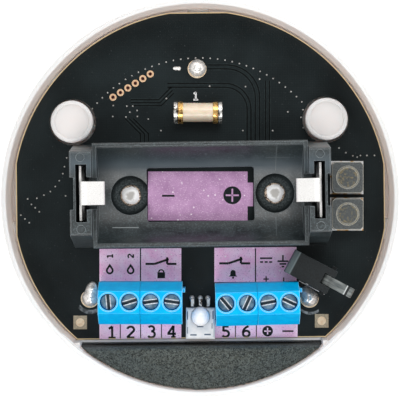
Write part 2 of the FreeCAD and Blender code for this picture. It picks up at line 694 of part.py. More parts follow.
# Tamper switch: a black body whose forked front carries the lever on two stub pivots
def make_switch():
    body = new_body("switch_body")
    sketch = new_sketch(body, "XZ_Plane")
    outline(sketch, [
        ("0", "0"),
        ("switch_long", "0"),
        ("switch_long", "switch_up"),
        ("switch_chamfer", "switch_up"),
        ("0", "switch_up - switch_chamfer"),
    ])
    pad(body, sketch, "switch_wide", both_ways=True)
    fork = new_sketch(body, "XY_Plane", "switch_up")
    half_fork = "(lever_wide / 2 + fork_gap)"
    rectangle(fork, "fork_from", "switch_long + 1", "-" + half_fork, half_fork)
    pocket(body, fork, "switch_up - fork_floor")
    bores = new_sketch(body, "XZ_Plane", "-switch_wide")
    circles(bores, [("pivot_long", "pivot_up", "pivot_radius + pivot_gap")])
    pocket(body, bores, "2 * switch_wide", flip=True)
    place(body, "switch_x", "-switch_y", "board_top", "-switch_turn")
    return body


def make_lever():
    body = new_body("tamper_lever")
    hub = new_sketch(body, "XZ_Plane")
    circles(hub, [("pivot_long", "pivot_up", "hub_radius")])
    pad(body, hub, "lever_wide", both_ways=True)

    def up_the_arm(along, across):
        return turned("pivot_long", "pivot_up", "lever_rise", along, across)

    half = "(lever_thick / 2)"
    arm = new_sketch(body, "XZ_Plane")
    outline(arm, [
        up_the_arm("0", "-" + half),
        up_the_arm("lever_long", "-" + half),
        up_the_arm("lever_long + lever_tip", "-lever_tip * sin(lever_rise) - " + half),
        up_the_arm("lever_long + lever_tip", half + " - lever_tip * sin(lever_rise)"),
        up_the_arm("lever_long", half),
        up_the_arm("0", half),
    ])
    pad(body, arm, "lever_wide", both_ways=True)
    stubs = new_sketch(body, "XZ_Plane")
    circles(stubs, [("pivot_long", "pivot_up", "pivot_radius")])
    pad(body, stubs, "switch_wide - 4 * fork_gap", both_ways=True)
    place(body, "switch_x", "-switch_y", "board_top", "-switch_turn")
    return body


def make_switch_feet():
    feet = []
    for side in (-1, 1):
        edge = "(%d * switch_wide / 2)" % side
        reach = "(%d * (switch_wide / 2 + foot_out))" % side
        front, back = (reach, edge) if side < 0 else (edge, reach)
        feet.append(box("switch_long - foot_long", "switch_long", front, back, "0", "foot_thick"))
    return solid("switch_feet", Part.makeCompound(feet), "switch_x", "-switch_y", "board_top", "-switch_turn")


# Status light: a milky lamp in a clear holder, with three bent leads
def make_light():
    body = new_body("light_holder")
    sketch = new_sketch(body, "XY_Plane")
    rectangle(sketch, "-light_wide / 2", "light_wide / 2", "-light_front", "light_back")
    pad(body, sketch, "light_up")

    def outer_top(spot, edge):
        return spot.z > number("light_up") - 0.01

    soften(body, "Chamfer", "light_edge", outer_top)
    bore = new_sketch(body, "XY_Plane", "light_up")
    circles(bore, [("0", "0", "lamp_radius + lamp_gap")])
    pocket(body, bore, "light_up - lamp_low")
    place(body, "light_x", "-light_y", "board_top")

    lamp = new_body("status_light")
    side = new_sketch(lamp, "XZ_Plane")
    outline(side, [
        ("0", "lamp_low"),
        ("lamp_radius", "lamp_low"),
        ("lamp_radius", "lamp_shoulder"),
        ("0", "lamp_shoulder + lamp_radius"),
    ], {2: "lamp_radius"})
    turning = lamp.newObject("PartDesign::Revolution", "lamp_turning")
    turning.Profile = side
    turning.ReferenceAxis = (side, ["V_Axis"])
    turning.Angle = 360
    place(lamp, "light_x", "-light_y", "board_top")

    leads = []
    for index in (-1, 0, 1):
        middle = "%d * lamp_step" % index
        left, right = middle + " - lead_wide / 2", middle + " + lead_wide / 2"
        start, end = "lamp_radius + lamp_gap", "light_back + lead_out"
        flat = box(left, right, start, end, "lead_up", "lead_up + lead_thick")
        drop = box(left, right, end + " - lead_thick", end, "0", "lead_up + lead_thick")
        leads.append(flat.fuse(drop).removeSplitter())
    solid("light_leads", Part.makeCompound(leads), "light_x", "-light_y", "board_top")


# Tilt sensor: a cream tube lying between two plated caps
def make_tilt_sensor():
    outer = "(tilt_radius + tilt_gap + tilt_cap_wall)"
    along = FreeCAD.Rotation(Vector(0, 1, 0), 90)
    axis = "board_top + tilt_pad + " + outer

    def lying(radius, start, end):
        return Part.makeCylinder(number(radius), number(end) - number(start),
                                 Vector(number(start), 0, 0), Vector(1, 0, 0))

    end = "(tilt_long / 2)"
    wall = "tilt_cap_wall"
    tube = lying("tilt_radius", "-%s + %s" % (end, wall), "%s - %s" % (end, wall))
    solid("tilt_tube", tube, "-tilt_x", "tilt_y", axis)
    cap = lying(outer, "%s - tilt_cap" % end, end)
    cap = cap.cut(lying("tilt_radius + tilt_gap", "%s - tilt_cap" % end, "%s - %s" % (end, wall)))
    foot = box("%s - tilt_cap" % end, end, "-" + outer, outer, "-%s - tilt_pad" % outer, "-%s / 2" % outer)
    foot = foot.cut(lying("tilt_radius + tilt_gap", "0", end))
    cap = cap.fuse(foot).removeSplitter()
    solid("tilt_cap_right", cap, "-tilt_x", "tilt_y", axis)
    solid("tilt_cap_left", cap.mirror(Vector(0, 0, 0), Vector(1, 0, 0)), "-tilt_x", "tilt_y", axis)


# Power inductors: a square ferrite block with a ring mark, on a plated frame
def make_inductor(name, y):
    body = new_body("inductor_" + name)
    sketch = new_sketch(body, "XY_Plane", "coil_frame_up")
    rectangle(sketch, "-coil_side / 2", "coil_side / 2", "-coil_side / 2", "coil_side / 2")
    pad(body, sketch, "coil_up - coil_frame_up")

    def upright(spot, edge):
        return abs(edge.tangentAt(edge.FirstParameter).z) > 0.99

    soften(body, "Chamfer", "coil_corner", upright)
    ring = new_sketch(body, "XY_Plane", "coil_up")
    circles(ring, [("0", "0", "coil_ring"), ("0", "0", "coil_ring - coil_ring_wide")])
    pocket(body, ring, "coil_ring_deep")
    place(body, "coil_x", y, "board_top")

    frame = new_body("inductor_frame_" + name)
    plan = new_sketch(frame, "XY_Plane")
    rectangle(plan, "-coil_frame / 2", "coil_frame / 2", "-coil_frame / 2", "coil_frame / 2")
    pad(frame, plan, "coil_frame_up")
    place(frame, "coil_x", y, "board_top")


# Probes: a barrel soldered to the board, and a sprung tip that slides up into it
def make_probe(name, x, y):
    barrel = new_body("probe_barrel_" + name)
    sketch = new_sketch(barrel, "XZ_Plane")
    inner = "(barrel_radius - barrel_wall)"
    outline(sketch, [
        ("0", "board_low - barrel_lid"),
        (inner, "board_low - barrel_lid"),
        (inner, "mouth_level + barrel_lip"),
        ("stem_radius + probe_fit", "mouth_level + barrel_lip"),
        ("stem_radius + probe_fit", "mouth_level"),
        ("barrel_radius", "mouth_level"),
        ("barrel_radius", "board_low"),
        ("tail_radius", "board_low"),
        ("tail_radius", "board_top"),
        ("0", "board_top"),
    ])
    turning = barrel.newObject("PartDesign::Revolution", "barrel_turning_" + name)
    turning.Profile = sketch
    turning.ReferenceAxis = (sketch, ["V_Axis"])
    turning.Angle = 360
    place(barrel, x, y)

    tip = new_body("probe_tip_" + name)
    side = new_sketch(tip, "XZ_Plane")
    collar_low = "(mouth_level + barrel_lip + stop_gap)"
    outline(side, [
        ("0", "0"),
        ("head_flat", "0"),
        ("probe_head", "probe_head - head_flat"),
        ("probe_head", "head_high"),
        ("stem_radius", "head_high"),
        ("stem_radius", collar_low),
        ("collar_radius", collar_low),
        ("collar_radius", collar_low + " + collar_high"),
        ("0", collar_low + " + collar_high"),
    ], {1: "probe_head - head_flat"})
    turning = tip.newObject("PartDesign::Revolution", "tip_turning_" + name)
    turning.Profile = side
    turning.ReferenceAxis = (side, ["V_Axis"])
    turning.Angle = 360
    place(tip, x, y)

    wire = number("spring_wire") / 2
    low = collar_low + " + collar_high + spring_gap + spring_wire / 2"
    rise = number("board_low - barrel_lid - spring_gap - spring_wire / 2 - (%s)" % low)
    helix = Part.makeHelix(rise / number("spring_turns"), rise, number("spring_radius"))
    sides = [math.radians(angle) for angle in range(0, 361, 45)]
    section = Part.makePolygon([Vector(number("spring_radius") + wire * math.cos(side), 0,
                                       wire * math.sin(side)) for side in sides])
    coil = Part.Wire(helix.Edges).makePipeShell([section], True, True)
    solid("probe_spring_" + name, coil, x, y, low)

    solid("probe_solder_" + name, dome("dome_radius", "dome_up", "dome_tip"), x, y, "board_top")


# Bay pad: a soft block that fills the segment between the board and the wall
def make_bay_pad():
    body = new_body("bay_pad")
    sketch = new_sketch(body, "XY_Plane", "floor_level")
    radius = "(base_inner - floor_fillet - pad_gap)"
    line = "(bay_start + bay_wall + pad_gap)"
    half = "sqrt(%s ^ 2 - %s ^ 2)" % (radius, line)
    outline(sketch, [("-" + half, "-" + line), (half, "-" + line)], {0: radius})
    pad(body, sketch, "board_top + pad_up - floor_level")
    place(body, turn="base_turn")
    return body


# Hidden parts: the radio module under the board and the sounder disc on the floor
def make_hidden():
    plate = box("-radio_long / 2", "radio_long / 2", "-radio_wide / 2", "radio_wide / 2",
                "-radio_thick", "0")
    can = box("-radio_long / 2 + can_edge", "radio_long / 2 - can_edge", "-radio_wide / 2 + can_edge",
              "radio_wide / 2 - can_edge", "-radio_thick - can_high", "-radio_thick")
    solid("radio_module", plate.fuse(can).removeSplitter(), "-radio_x", "radio_y", "board_low")
    solid("sounder_disc", rod("sounder_radius", "0", "sounder_thick"), "0", "-sounder_y", "floor_level")


# How far each screw's slot happens to be turned
SLOT_ANGLES = {"one": 95, "two": 17, "three": 8, "four": -8, "five": -50, "six": 65, "plus": 10, "minus": -25}

make_base_shell()
make_main_board()
make_battery_holder()
make_contact("contact_left", -1)
make_contact("contact_right", 1)
make_contact_solder("contact_solder_left", -1, "eye_left")
make_contact_solder("contact_solder_right", 1, "eye_right")
for block_x, block_y, block_turn, block_housings in BLOCKS:
    for housing_name, housing_offset in block_housings.items():
        make_terminal_housing(housing_name, block_x, block_y, block_turn, housing_offset)
        make_contact_bars(housing_name, block_x, block_y, block_turn, housing_offset)
for pole_name, pole_along, block_x, block_y, block_turn, housing_name in poles():
    pole_x, pole_y = turned(block_x, block_y, block_turn, pole_along, "0")
    make_terminal_screw(pole_name, pole_x, pole_y, block_turn, SLOT_ANGLES[pole_name])
    make_clamp_cage(pole_name, pole_x, pole_y, block_turn)
make_switch()
make_lever()
make_switch_feet()
make_light()
make_tilt_sensor()
make_inductor("back", "coil_back_y")
make_inductor("front", "-coil_front_y")
for probe_name, (probe_x, probe_y) in PROBES.items():
    make_probe(probe_name, probe_x, probe_y)
make_bay_pad()
make_hidden()
doc.recompute()

# Check every object, then write one file for each sub-part
for item in doc.Objects:
    if "Invalid" in item.State or "Error" in item.State:
        raise RuntimeError("%s failed: %s" % (item.Name, item.State))

pieces = [item for item in doc.Objects if item.TypeId in ("PartDesign::Body", "Part::Feature")
          and item.getParentGeoFeatureGroup() is None]
for piece in pieces:
    if piece.Shape.isNull() or not piece.Shape.isValid():
        raise RuntimeError("%s has no valid shape" % piece.Label)
for piece in pieces:
    piece.Shape.exportStep("parts/%s.step" % piece.Label)
    print("%-28s solids %d  volume %.3f" % (piece.Label, len(piece.Shape.Solids), piece.Shape.Volume))
print("sub-parts", len(pieces))
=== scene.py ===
# %% [markdown]
# # A water leak sensor with its cover off
# The sensor is a shallow white cup that stands on three sprung probe tips. Inside lie a black
# circuit board, a cradle for one lithium cell, two rows of blue screw terminals, a tamper switch
# and a tilt sensor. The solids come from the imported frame, in metres. This lesson gives them
# their finishes, and adds what is printed, plated and soldered on the board.

# %% Load the frame
import math

import bmesh
import bpy
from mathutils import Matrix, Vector, noise


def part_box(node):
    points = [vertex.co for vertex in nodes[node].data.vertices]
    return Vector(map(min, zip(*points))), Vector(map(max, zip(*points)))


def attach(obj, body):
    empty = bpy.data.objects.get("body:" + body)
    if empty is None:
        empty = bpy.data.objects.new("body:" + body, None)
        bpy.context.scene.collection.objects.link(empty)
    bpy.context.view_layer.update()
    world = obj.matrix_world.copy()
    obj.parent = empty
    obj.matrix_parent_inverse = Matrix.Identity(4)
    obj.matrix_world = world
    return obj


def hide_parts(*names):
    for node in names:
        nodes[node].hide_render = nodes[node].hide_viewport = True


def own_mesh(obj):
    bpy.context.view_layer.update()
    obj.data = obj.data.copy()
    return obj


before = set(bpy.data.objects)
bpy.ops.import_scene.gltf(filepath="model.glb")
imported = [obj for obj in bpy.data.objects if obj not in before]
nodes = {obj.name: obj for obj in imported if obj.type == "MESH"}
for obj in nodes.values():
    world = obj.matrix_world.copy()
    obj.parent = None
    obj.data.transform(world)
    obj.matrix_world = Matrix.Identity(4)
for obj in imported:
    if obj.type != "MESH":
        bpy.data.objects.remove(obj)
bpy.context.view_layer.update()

# %% [markdown]
# Drawings of a small device are in millimetres, but Blender's unit here is the metre, so every
# drawn size passes through one factor. The board's top is the level that most sizes refer to, and
# many details are placed by the middle of a piece's box in the frame.

# %% Units, levels and middles
MM = 0.001
BOARD_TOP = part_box("main_board")[1][2] / MM


def middle_of(box):
    """The middle of a box from the frame, seen from above, in millimetres."""
    low, high = box
    return (low[0] + high[0]) / 2 / MM, (low[1] + high[1]) / 2 / MM


print("board top %.2f mm" % BOARD_TOP)


# %% [markdown]
# Colours are easiest to pick as the hex codes of a paint chart, which are sRGB. Shader sockets
# want linear light, so one function turns the first into the second.

# %% Colour helper
def srgb(code):
    """A hex colour such as #1F2325 as linear red, green, blue and alpha."""
    parts = [int(code[i:i + 2], 16) / 255 for i in (1, 3, 5)]
    linear = [c / 12.92 if c <= 0.04045 else ((c + 0.055) / 1.055) ** 2.4 for c in parts]
    return (*linear, 1.0)


print("black mask", [round(c, 4) for c in srgb("#1F2325")[:3]])


# %% [markdown]
# Materials are node trees. A single small function adds any node, sets it up and links it. With
# it each finish below reads like a list of what the surface does.

# %% Node helper
def add(tree, kind, inputs=None, **settings):
    """Add one node. inputs maps sockets to plain values or to sockets of other nodes."""
    node = tree.nodes.new(kind)
    for name, value in settings.items():
        setattr(node, name, value)
    for socket, value in (inputs or {}).items():
        if isinstance(value, bpy.types.NodeSocket):
            tree.links.new(value, node.inputs[socket])
        else:
            node.inputs[socket].default_value = value
    return node


# %% [markdown]
# A finish starts from the Principled shader and from the place on the piece in millimetres, so
# the scale of a pattern is one over its real size. At the end its colour, gloss and relief are
# joined to the shader, and the frame's pieces are dressed in it.

# %% Start and end of a finish
def start_finish(name, **sockets):
    """A new material, its tree, its shader, and the object's own coordinates in millimetres."""
    material = bpy.data.materials.new(name)
    material.use_nodes = True
    tree = material.node_tree
    shader = tree.nodes["Principled BSDF"]
    for socket, value in sockets.items():
        shader.inputs[socket.replace("_", " ")].default_value = value
    metres = add(tree, "ShaderNodeTexCoord").outputs["Object"]
    scaled = {0: metres, 1: (1 / MM, 1 / MM, 1 / MM)}
    place = add(tree, "ShaderNodeVectorMath", scaled, operation="MULTIPLY").outputs[0]
    return material, tree, shader, place


def finish_with(tree, shader, colour=None, height=None, depth=0.0, normal=None, rough=None):
    """Join a finish's colour, roughness and relief to its shader; depth is in millimetres."""
    if colour is not None:
        tree.links.new(colour, shader.inputs["Base Color"])
    if rough is not None:
        tree.links.new(rough, shader.inputs["Roughness"])
    if height is not None:
        sockets = {"Height": height, "Distance": depth * MM}
        if normal is not None:
            sockets["Normal"] = normal
        normal = add(tree, "ShaderNodeBump", sockets).outputs[0]
    if normal is not None:
        tree.links.new(normal, shader.inputs["Normal"])


def dress(material, *names):
    """Give a finish to CAD nodes."""
    for name in names:
        nodes[name].data.materials.clear()
        nodes[name].data.materials.append(material)
    print(material.name, "on", ", ".join(names))


# %% [markdown]
# Three short recipes come back in many finishes. Two tones turn a pattern into a colour. A Bevel
# node finds the edges, because real mouldings and stampings have none that are quite sharp; its
# edge mask also paints pale highlight lines along edges in several finishes. And a rectangle marks
# out a small area, such as a slot or a scratch.

# %% Tones, edges and areas
def two_tones(tree, factor, low, high, start=0.35, end=0.65):
    """Go from one colour to another while a factor goes from start to end."""
    spread = add(tree, "ShaderNodeMapRange", {0: factor, 1: start, 2: end}).outputs[0]
    return add(tree, "ShaderNodeMix", {0: spread, 6: low, 7: high}, data_type="RGBA").outputs[2]


def rounded_edges(tree, width, flat=0.995, sharp=0.6):
    """The normal as if edges were rounded by width millimetres, and a mask of those edges."""
    rounded = add(tree, "ShaderNodeBevel", {"Radius": width * MM}, samples=6).outputs[0]
    true = add(tree, "ShaderNodeNewGeometry").outputs["Normal"]
    match = add(tree, "ShaderNodeVectorMath", {0: rounded, 1: true}, operation="DOT_PRODUCT")
    mask = add(tree, "ShaderNodeMapRange", {0: match.outputs["Value"], 1: flat, 2: sharp})
    return rounded, mask.outputs[0]


def inside_rect(tree, x, y, middle, reach):
    """1 where x and y lie within reach of a middle, else 0."""
    across = {0: x, 1: middle[0], 2: reach[0]}
    beside = add(tree, "ShaderNodeMath", across, operation="COMPARE").outputs[0]
    deep = {0: y, 1: middle[1], 2: reach[1]}
    within = add(tree, "ShaderNodeMath", deep, operation="COMPARE").outputs[0]
    return add(tree, "ShaderNodeMath", {0: beside, 1: within}, operation="MULTIPLY").outputs[0]


# %% [markdown]
# Many small pieces need only one soft noise, which gives both their tones and their relief. Its
# blotches have their real size where that can be seen. Grain that is finer than the picture can
# show, such as drawing marks on wire, is drawn as coarse as it needs to be to show.

# %% Blotched finish
BLOTCH_SPREAD = (0.3, 0.7)


def blotched(name, dark, light, size, depth, detail=3.0, change=(0.35, 0.65), edge=None,
             shine=None, **sockets):
    """A finish of one noise. size, depth and edge are in millimetres, shine is two roughnesses."""
    material, tree, shader, place = start_finish(name, **sockets)
    pattern = {"Vector": place, "Scale": 1 / size, "Detail": detail}
    blotches = add(tree, "ShaderNodeTexNoise", pattern).outputs[0]
    colour = two_tones(tree, blotches, srgb(dark), srgb(light), *change)
    normal = rounded_edges(tree, edge)[0] if edge else None
    rough = None
    if shine:
        spread = {0: blotches, 1: BLOTCH_SPREAD[0], 2: BLOTCH_SPREAD[1], 3: shine[0], 4: shine[1]}
        rough = add(tree, "ShaderNodeMapRange", spread).outputs[0]
    finish_with(tree, shader, colour, blotches, depth, normal, rough)
    return material


# %% [markdown]
# The camera looks straight down. The rim looks larger than the board by as much as it would from
# about 335 mm above the board. The picture takes in 73.8 mm at the board's level, and that sets
# the focal length on a 36 mm sensor. Its middle lies a little in front of the cup's middle.

# %% Camera
CAMERA_HEIGHT = 335.0
PICTURE_WIDE = 73.8
PICTURE_MIDDLE_Y = -0.41
SENSOR_WIDE = 36.0
NEAREST_SEEN = 10.0
camera = bpy.data.objects.new("camera", bpy.data.cameras.new("camera"))
camera.data.lens = SENSOR_WIDE * CAMERA_HEIGHT / PICTURE_WIDE
camera.data.clip_start = NEAREST_SEEN * MM
camera.location = (0.0, PICTURE_MIDDLE_Y * MM, (BOARD_TOP + CAMERA_HEIGHT) * MM)
bpy.context.scene.collection.objects.link(camera)
bpy.context.scene.camera = camera
print("lens %.1f mm" % camera.data.lens)


# %% [markdown]
# The floor is a plain pale sheet. A shop photograph has a clean white background, so the floor
# also glows a little for the camera, in mirrors and through clear plastic, while it still takes
# a soft shadow.

# %% Floor
def seen_directly(tree):
    """1 for rays from the camera, from gloss and through clear plastic."""
    path = add(tree, "ShaderNodeLightPath").outputs
    seen = path["Is Camera Ray"]
    for ray in ("Is Glossy Ray", "Is Transmission Ray"):
        seen = add(tree, "ShaderNodeMath", {0: seen, 1: path[ray]}, operation="MAXIMUM").outputs[0]
    return seen


HALF_FLOOR = 1.5
FLOOR_GLOW = 0.45
PAPER_FIBRE = 1.5
corners = [(x * HALF_FLOOR, y * HALF_FLOOR, 0) for x, y in ((-1, -1), (1, -1), (1, 1), (-1, 1))]
floor_mesh = bpy.data.meshes.new("floor")
floor_mesh.from_pydata(corners, [], [(0, 1, 2, 3)])
floor = bpy.data.objects.new("floor", floor_mesh)
bpy.context.scene.collection.objects.link(floor)
paper, tree, shader, place = start_finish("paper_sheet", Roughness=0.9)
shader.inputs["Base Color"].default_value = srgb("#E9E9E9")
pattern = {"Vector": place, "Scale": 1 / PAPER_FIBRE, "Detail": 6.0}
fibres = add(tree, "ShaderNodeTexNoise", pattern).outputs[0]
finish_with(tree, shader, height=fibres, depth=0.02)
glow = add(tree, "ShaderNodeEmission", {"Color": (1, 1, 1, 1), "Strength": FLOOR_GLOW})
lit = add(tree, "ShaderNodeAddShader", {0: shader.outputs[0], 1: glow.outputs[0]})
choice = {0: seen_directly(tree), 1: shader.outputs[0], 2: lit.outputs[0]}
mixed = add(tree, "ShaderNodeMixShader", choice)
tree.links.new(mixed.outputs[0], tree.nodes["Material Output"].inputs["Surface"])
floor_mesh.materials.append(paper)
print(floor.name, "%.0f m wide" % (2 * HALF_FLOOR))

# %% [markdown]
# The world is a light tent. Its sides are bright, a little less so near the floor, and it is dark
# overhead where the camera looks in. That dark hatch is why flat metal and flat black plastic look
# dark from above, and tilted metal white. Where the camera looks past the floor, the world is
# plain white.

# %% World
HORIZON_LIGHT = 0.5775
TENT_LIGHT = 1.1025
TENT_BRIGHT_FROM = 0.5
HATCH_LIGHT = 0.12
HATCH_EDGE, HATCH_DARK = math.cos(math.radians(32)), math.cos(math.radians(14))
world = bpy.data.worlds.new("studio")
bpy.context.scene.world = world
world.use_nodes = True
tree = world.node_tree
direction = add(tree, "ShaderNodeTexCoord").outputs["Generated"]
upward = add(tree, "ShaderNodeSeparateXYZ", {0: direction}).outputs["Z"]
span = {0: upward, 1: 0.0, 2: TENT_BRIGHT_FROM, 3: HORIZON_LIGHT, 4: TENT_LIGHT}
sides = add(tree, "ShaderNodeMapRange", span).outputs[0]
hatch = add(tree, "ShaderNodeMapRange", {0: upward, 1: HATCH_EDGE, 2: HATCH_DARK}).outputs[0]
tent = add(tree, "ShaderNodeMix", {0: hatch, 2: sides, 3: HATCH_LIGHT}).outputs[0]
camera_ray = add(tree, "ShaderNodeLightPath").outputs["Is Camera Ray"]
level = add(tree, "ShaderNodeMix", {0: camera_ray, 2: tent, 3: 1.0}).outputs[0]
tree.links.new(level, tree.nodes["Background"].inputs["Strength"])
tree.nodes["Background"].inputs["Color"].default_value = (1, 1, 1, 1)
print("world", world.name)


# %% [markdown]
# Two soft boxes light it, one in front of the sensor and one behind it on the right, so that
# faces that lean either way stay bright.

# %% Lights
def soft_box(name, spot, size, watts):
    """A square lamp that faces the sensor; spot and size are in millimetres."""
    lamp = bpy.data.lights.new(name, "AREA")
    lamp.shape = "SQUARE"
    lamp.size = size * MM
    lamp.energy = watts
    thing = bpy.data.objects.new(name, lamp)
    thing.location = Vector(spot) * MM
    thing.rotation_euler = (-thing.location).to_track_quat("-Z", "Y").to_euler()
    bpy.context.scene.collection.objects.link(thing)


soft_box("front_box", spot=(-60, -330, 420), size=280, watts=0.85)
soft_box("back_box", spot=(120, 330, 380), size=240, watts=0.8)
bpy.context.scene.view_settings.view_transform = "Standard"

# %% [markdown]
# The base is injection-moulded ABS in white, with a satin gloss and a fine spark-eroded grain of
# about 0.1 mm. Its wall is 1 mm thick and lets a lot of light through, and red light goes
# furthest in white plastic. Subsurface scattering over 4 mm gives that, but not in the thin wall
# along the bay, which stands between the dark board and the dark foam. The round wall's inner
# face is painted a pinkish shade, for the shade and warm bounce it has beside the black board, and
# the rounded outer rim a cooler painted shade; the posts are a shade warmer.

# %% White ABS of the base
ABS_SCATTER = 4.0
ABS_GRAIN = 0.12
ABS_PATCH = 6.0
POSTS_END = (29.0, 31.5)
ROUND_WALL_STARTS = (34.0, 34.6)
RIM_SHADE_STARTS = (34.9, 35.2)
FACES_IN = (-8.0, -30.0)
BAY_WALL = ((0.0, -26.1), (23.0, 0.55))
white_abs, tree, shader, place = start_finish(
    "moulded_white_abs", Roughness=0.42, Subsurface_Scale=ABS_SCATTER * MM,
    Subsurface_Radius=(1.0, 0.9, 0.86))
axes = add(tree, "ShaderNodeSeparateXYZ", {0: place}).outputs
across = add(tree, "ShaderNodeCombineXYZ", {"X": axes["X"], "Y": axes["Y"]}).outputs[0]
radius = add(tree, "ShaderNodeVectorMath", {0: across}, operation="LENGTH").outputs["Value"]
facing = add(tree, "ShaderNodeNewGeometry").outputs["Normal"]
leaning = add(tree, "ShaderNodeVectorMath", {0: facing, 1: across}, operation="DOT_PRODUCT")
inward = {0: leaning.outputs["Value"], 1: FACES_IN[0], 2: FACES_IN[1]}
inward = add(tree, "ShaderNodeMapRange", inward).outputs[0]
at_wall = {0: radius, 1: ROUND_WALL_STARTS[0], 2: ROUND_WALL_STARTS[1]}
at_wall = add(tree, "ShaderNodeMapRange", at_wall).outputs[0]
wall_shade = add(tree, "ShaderNodeMath", {0: inward, 1: at_wall}, operation="MULTIPLY").outputs[0]
bay_wall = inside_rect(tree, axes["X"], axes["Y"], *BAY_WALL)
free = add(tree, "ShaderNodeMath", {0: 1.0, 1: bay_wall}, operation="SUBTRACT").outputs[0]
tree.links.new(free, shader.inputs["Subsurface Weight"])
pattern = {"Vector": place, "Scale": 1 / ABS_PATCH, "Detail": 3.0}
patches = add(tree, "ShaderNodeTexNoise", pattern).outputs[0]
white = two_tones(tree, patches, srgb("#F1EFEE"), srgb("#ECEAE8"))
white = two_tones(tree, radius, srgb("#EFE9E7"), white, *POSTS_END)
# Painted shade: the inward-facing round wall is tinted a warm grey.
white = two_tones(tree, wall_shade, white, srgb("#E6D6CF"), 0.0, 1.0)
# Painted shade: the rounded outer rim is tinted a cooler grey.
white = two_tones(tree, radius, white, srgb("#E2E0DE"), *RIM_SHADE_STARTS)
pattern = {"Vector": place, "Scale": 1 / ABS_GRAIN, "Detail": 2.0}
grain = add(tree, "ShaderNodeTexNoise", pattern).outputs[0]
finish_with(tree, shader, white, grain, depth=0.006)
dress(white_abs, "base_shell")

# %% [markdown]
# The board is glass-fibre laminate under a black solder mask. The mask is a thin glossy lacquer,
# so the 0.45 mm weave of the cloth shows faintly through it. A wave texture of scale 1 repeats
# about every 0.32 mm, which its scale allows for. The sawn edge is bare laminate, a golden tan,
# and it shows from above as a thin line that follows the board's outline: the smallest distance
# to the round and to the four flats. The board lies turned by 0.6 degrees. Around the two joints
# that show through the cradle's holes, the mask is painted a paler, speckled grey.

# %% Black solder mask
BOARD_TURN = math.radians(0.6)
BOARD_ROUND = 34.6
BOARD_FLATS = ((180, 33.95), (0, 34.1), (90, 34.2), (270, 25.92))
EDGE_LINE = 0.18
EDGE_BLUR = 0.03
WEAVE = 0.45
WAVE_REPEAT = 0.3183
MASK_CLOUD = 9.0
DUST = 0.3
PALER_RING_ENDS = (2.7, 3.3)
SIDES = ("left", "right")
mask, tree, shader, place = start_finish("black_solder_mask", Roughness=0.34, IOR=1.5,
                                         Specular_IOR_Level=0.3)
axes = add(tree, "ShaderNodeSeparateXYZ", {0: place}).outputs
across = add(tree, "ShaderNodeCombineXYZ", {"X": axes["X"], "Y": axes["Y"]}).outputs[0]
radius = add(tree, "ShaderNodeVectorMath", {0: across}, operation="LENGTH").outputs["Value"]
inset = add(tree, "ShaderNodeMath", {0: BOARD_ROUND, 1: radius}, operation="SUBTRACT").outputs[0]
for way, distance in BOARD_FLATS:
    angle = math.radians(way) + BOARD_TURN
    outward = {0: across, 1: (math.cos(angle), math.sin(angle), 0)}
    reach = add(tree, "ShaderNodeVectorMath", outward, operation="DOT_PRODUCT").outputs["Value"]
    left = add(tree, "ShaderNodeMath", {0: distance, 1: reach}, operation="SUBTRACT").outputs[0]
    inset = add(tree, "ShaderNodeMath", {0: inset, 1: left}, operation="MINIMUM").outputs[0]
pattern = {"Vector": place, "Scale": 1 / WEAVE * WAVE_REPEAT, "Distortion": 1.2, "Detail": 1.0}
threads = [add(tree, "ShaderNodeTexWave", pattern, bands_direction=way).outputs["Fac"]
           for way in ("Y", "X")]
weave = add(tree, "ShaderNodeMath", {0: threads[0], 1: threads[1]}, operation="ADD").outputs[0]
pattern = {"Vector": place, "Scale": 1 / MASK_CLOUD, "Detail": 4.0}
clouds = add(tree, "ShaderNodeTexNoise", pattern).outputs[0]
lacquer = two_tones(tree, clouds, srgb("#0B1416"), srgb("#182123"))
dust = add(tree, "ShaderNodeTexNoise", {"Vector": place, "Scale": 1 / DUST, "Detail": 1.0}).outputs[0]
lacquer = two_tones(tree, dust, lacquer, srgb("#4A4E50"), 0.72, 0.8)
# The mask is painted a paler, speckled grey around the two joints in the cradle's holes.
paler_ring = two_tones(tree, dust, srgb("#1E2627"), srgb("#50585A"), 0.35, 0.7)
for side in SIDES:
    spot = {0: across, 1: (*middle_of(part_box("contact_solder_" + side)), 0.0)}
    away = add(tree, "ShaderNodeVectorMath", spot, operation="DISTANCE").outputs["Value"]
    lacquer = two_tones(tree, away, paler_ring, lacquer, *PALER_RING_ENDS)
lacquer = two_tones(tree, inset, srgb("#E9D0A4"), lacquer, EDGE_LINE - EDGE_BLUR, EDGE_LINE + EDGE_BLUR)
finish_with(tree, shader, lacquer, weave, depth=0.006)
dress(mask, "main_board")

# %% [markdown]
# The battery cradle is black glass-filled nylon, a little uneven in gloss. Its sharp moulded
# edges carry painted highlights, thin pale lines that are fainter on the front wall. A painted
# reflection of the tent makes the trough paler in a wide band near its back. Two mould lines
# cross its floor, and one scratch lies before the left hole.

# %% Black nylon of the cradle
NYLON_PATCH = 2.5
NYLON_SPECK = 0.3
NYLON_GRAIN = 0.15
SHEEN_RISES, SHEEN_FADES = (3.6, 5.8), (6.2, 8.4)
FRONT_WALL = (-8.0, -6.0)
MOULD_MARKS = (((13.85, 7.2), (0.06, 2.2), "#596265"), ((13.9, -5.2), (0.06, 1.7), "#596265"),
               ((14.2, 7.35), (2.2, 0.06), "#4E5759"), ((-13.6, -5.45), (2.4, 0.08), "#8E9597"))
nylon, tree, shader, place = start_finish("moulded_black_nylon", Roughness=0.42, IOR=1.53,
                                          Specular_IOR_Level=0.9)
axes = add(tree, "ShaderNodeSeparateXYZ", {0: place}).outputs
rounded, edges = rounded_edges(tree, 0.13, sharp=0.85)
pattern = {"Vector": place, "Scale": 1 / NYLON_PATCH, "Detail": 5.0}
patches = add(tree, "ShaderNodeTexNoise", pattern).outputs[0]
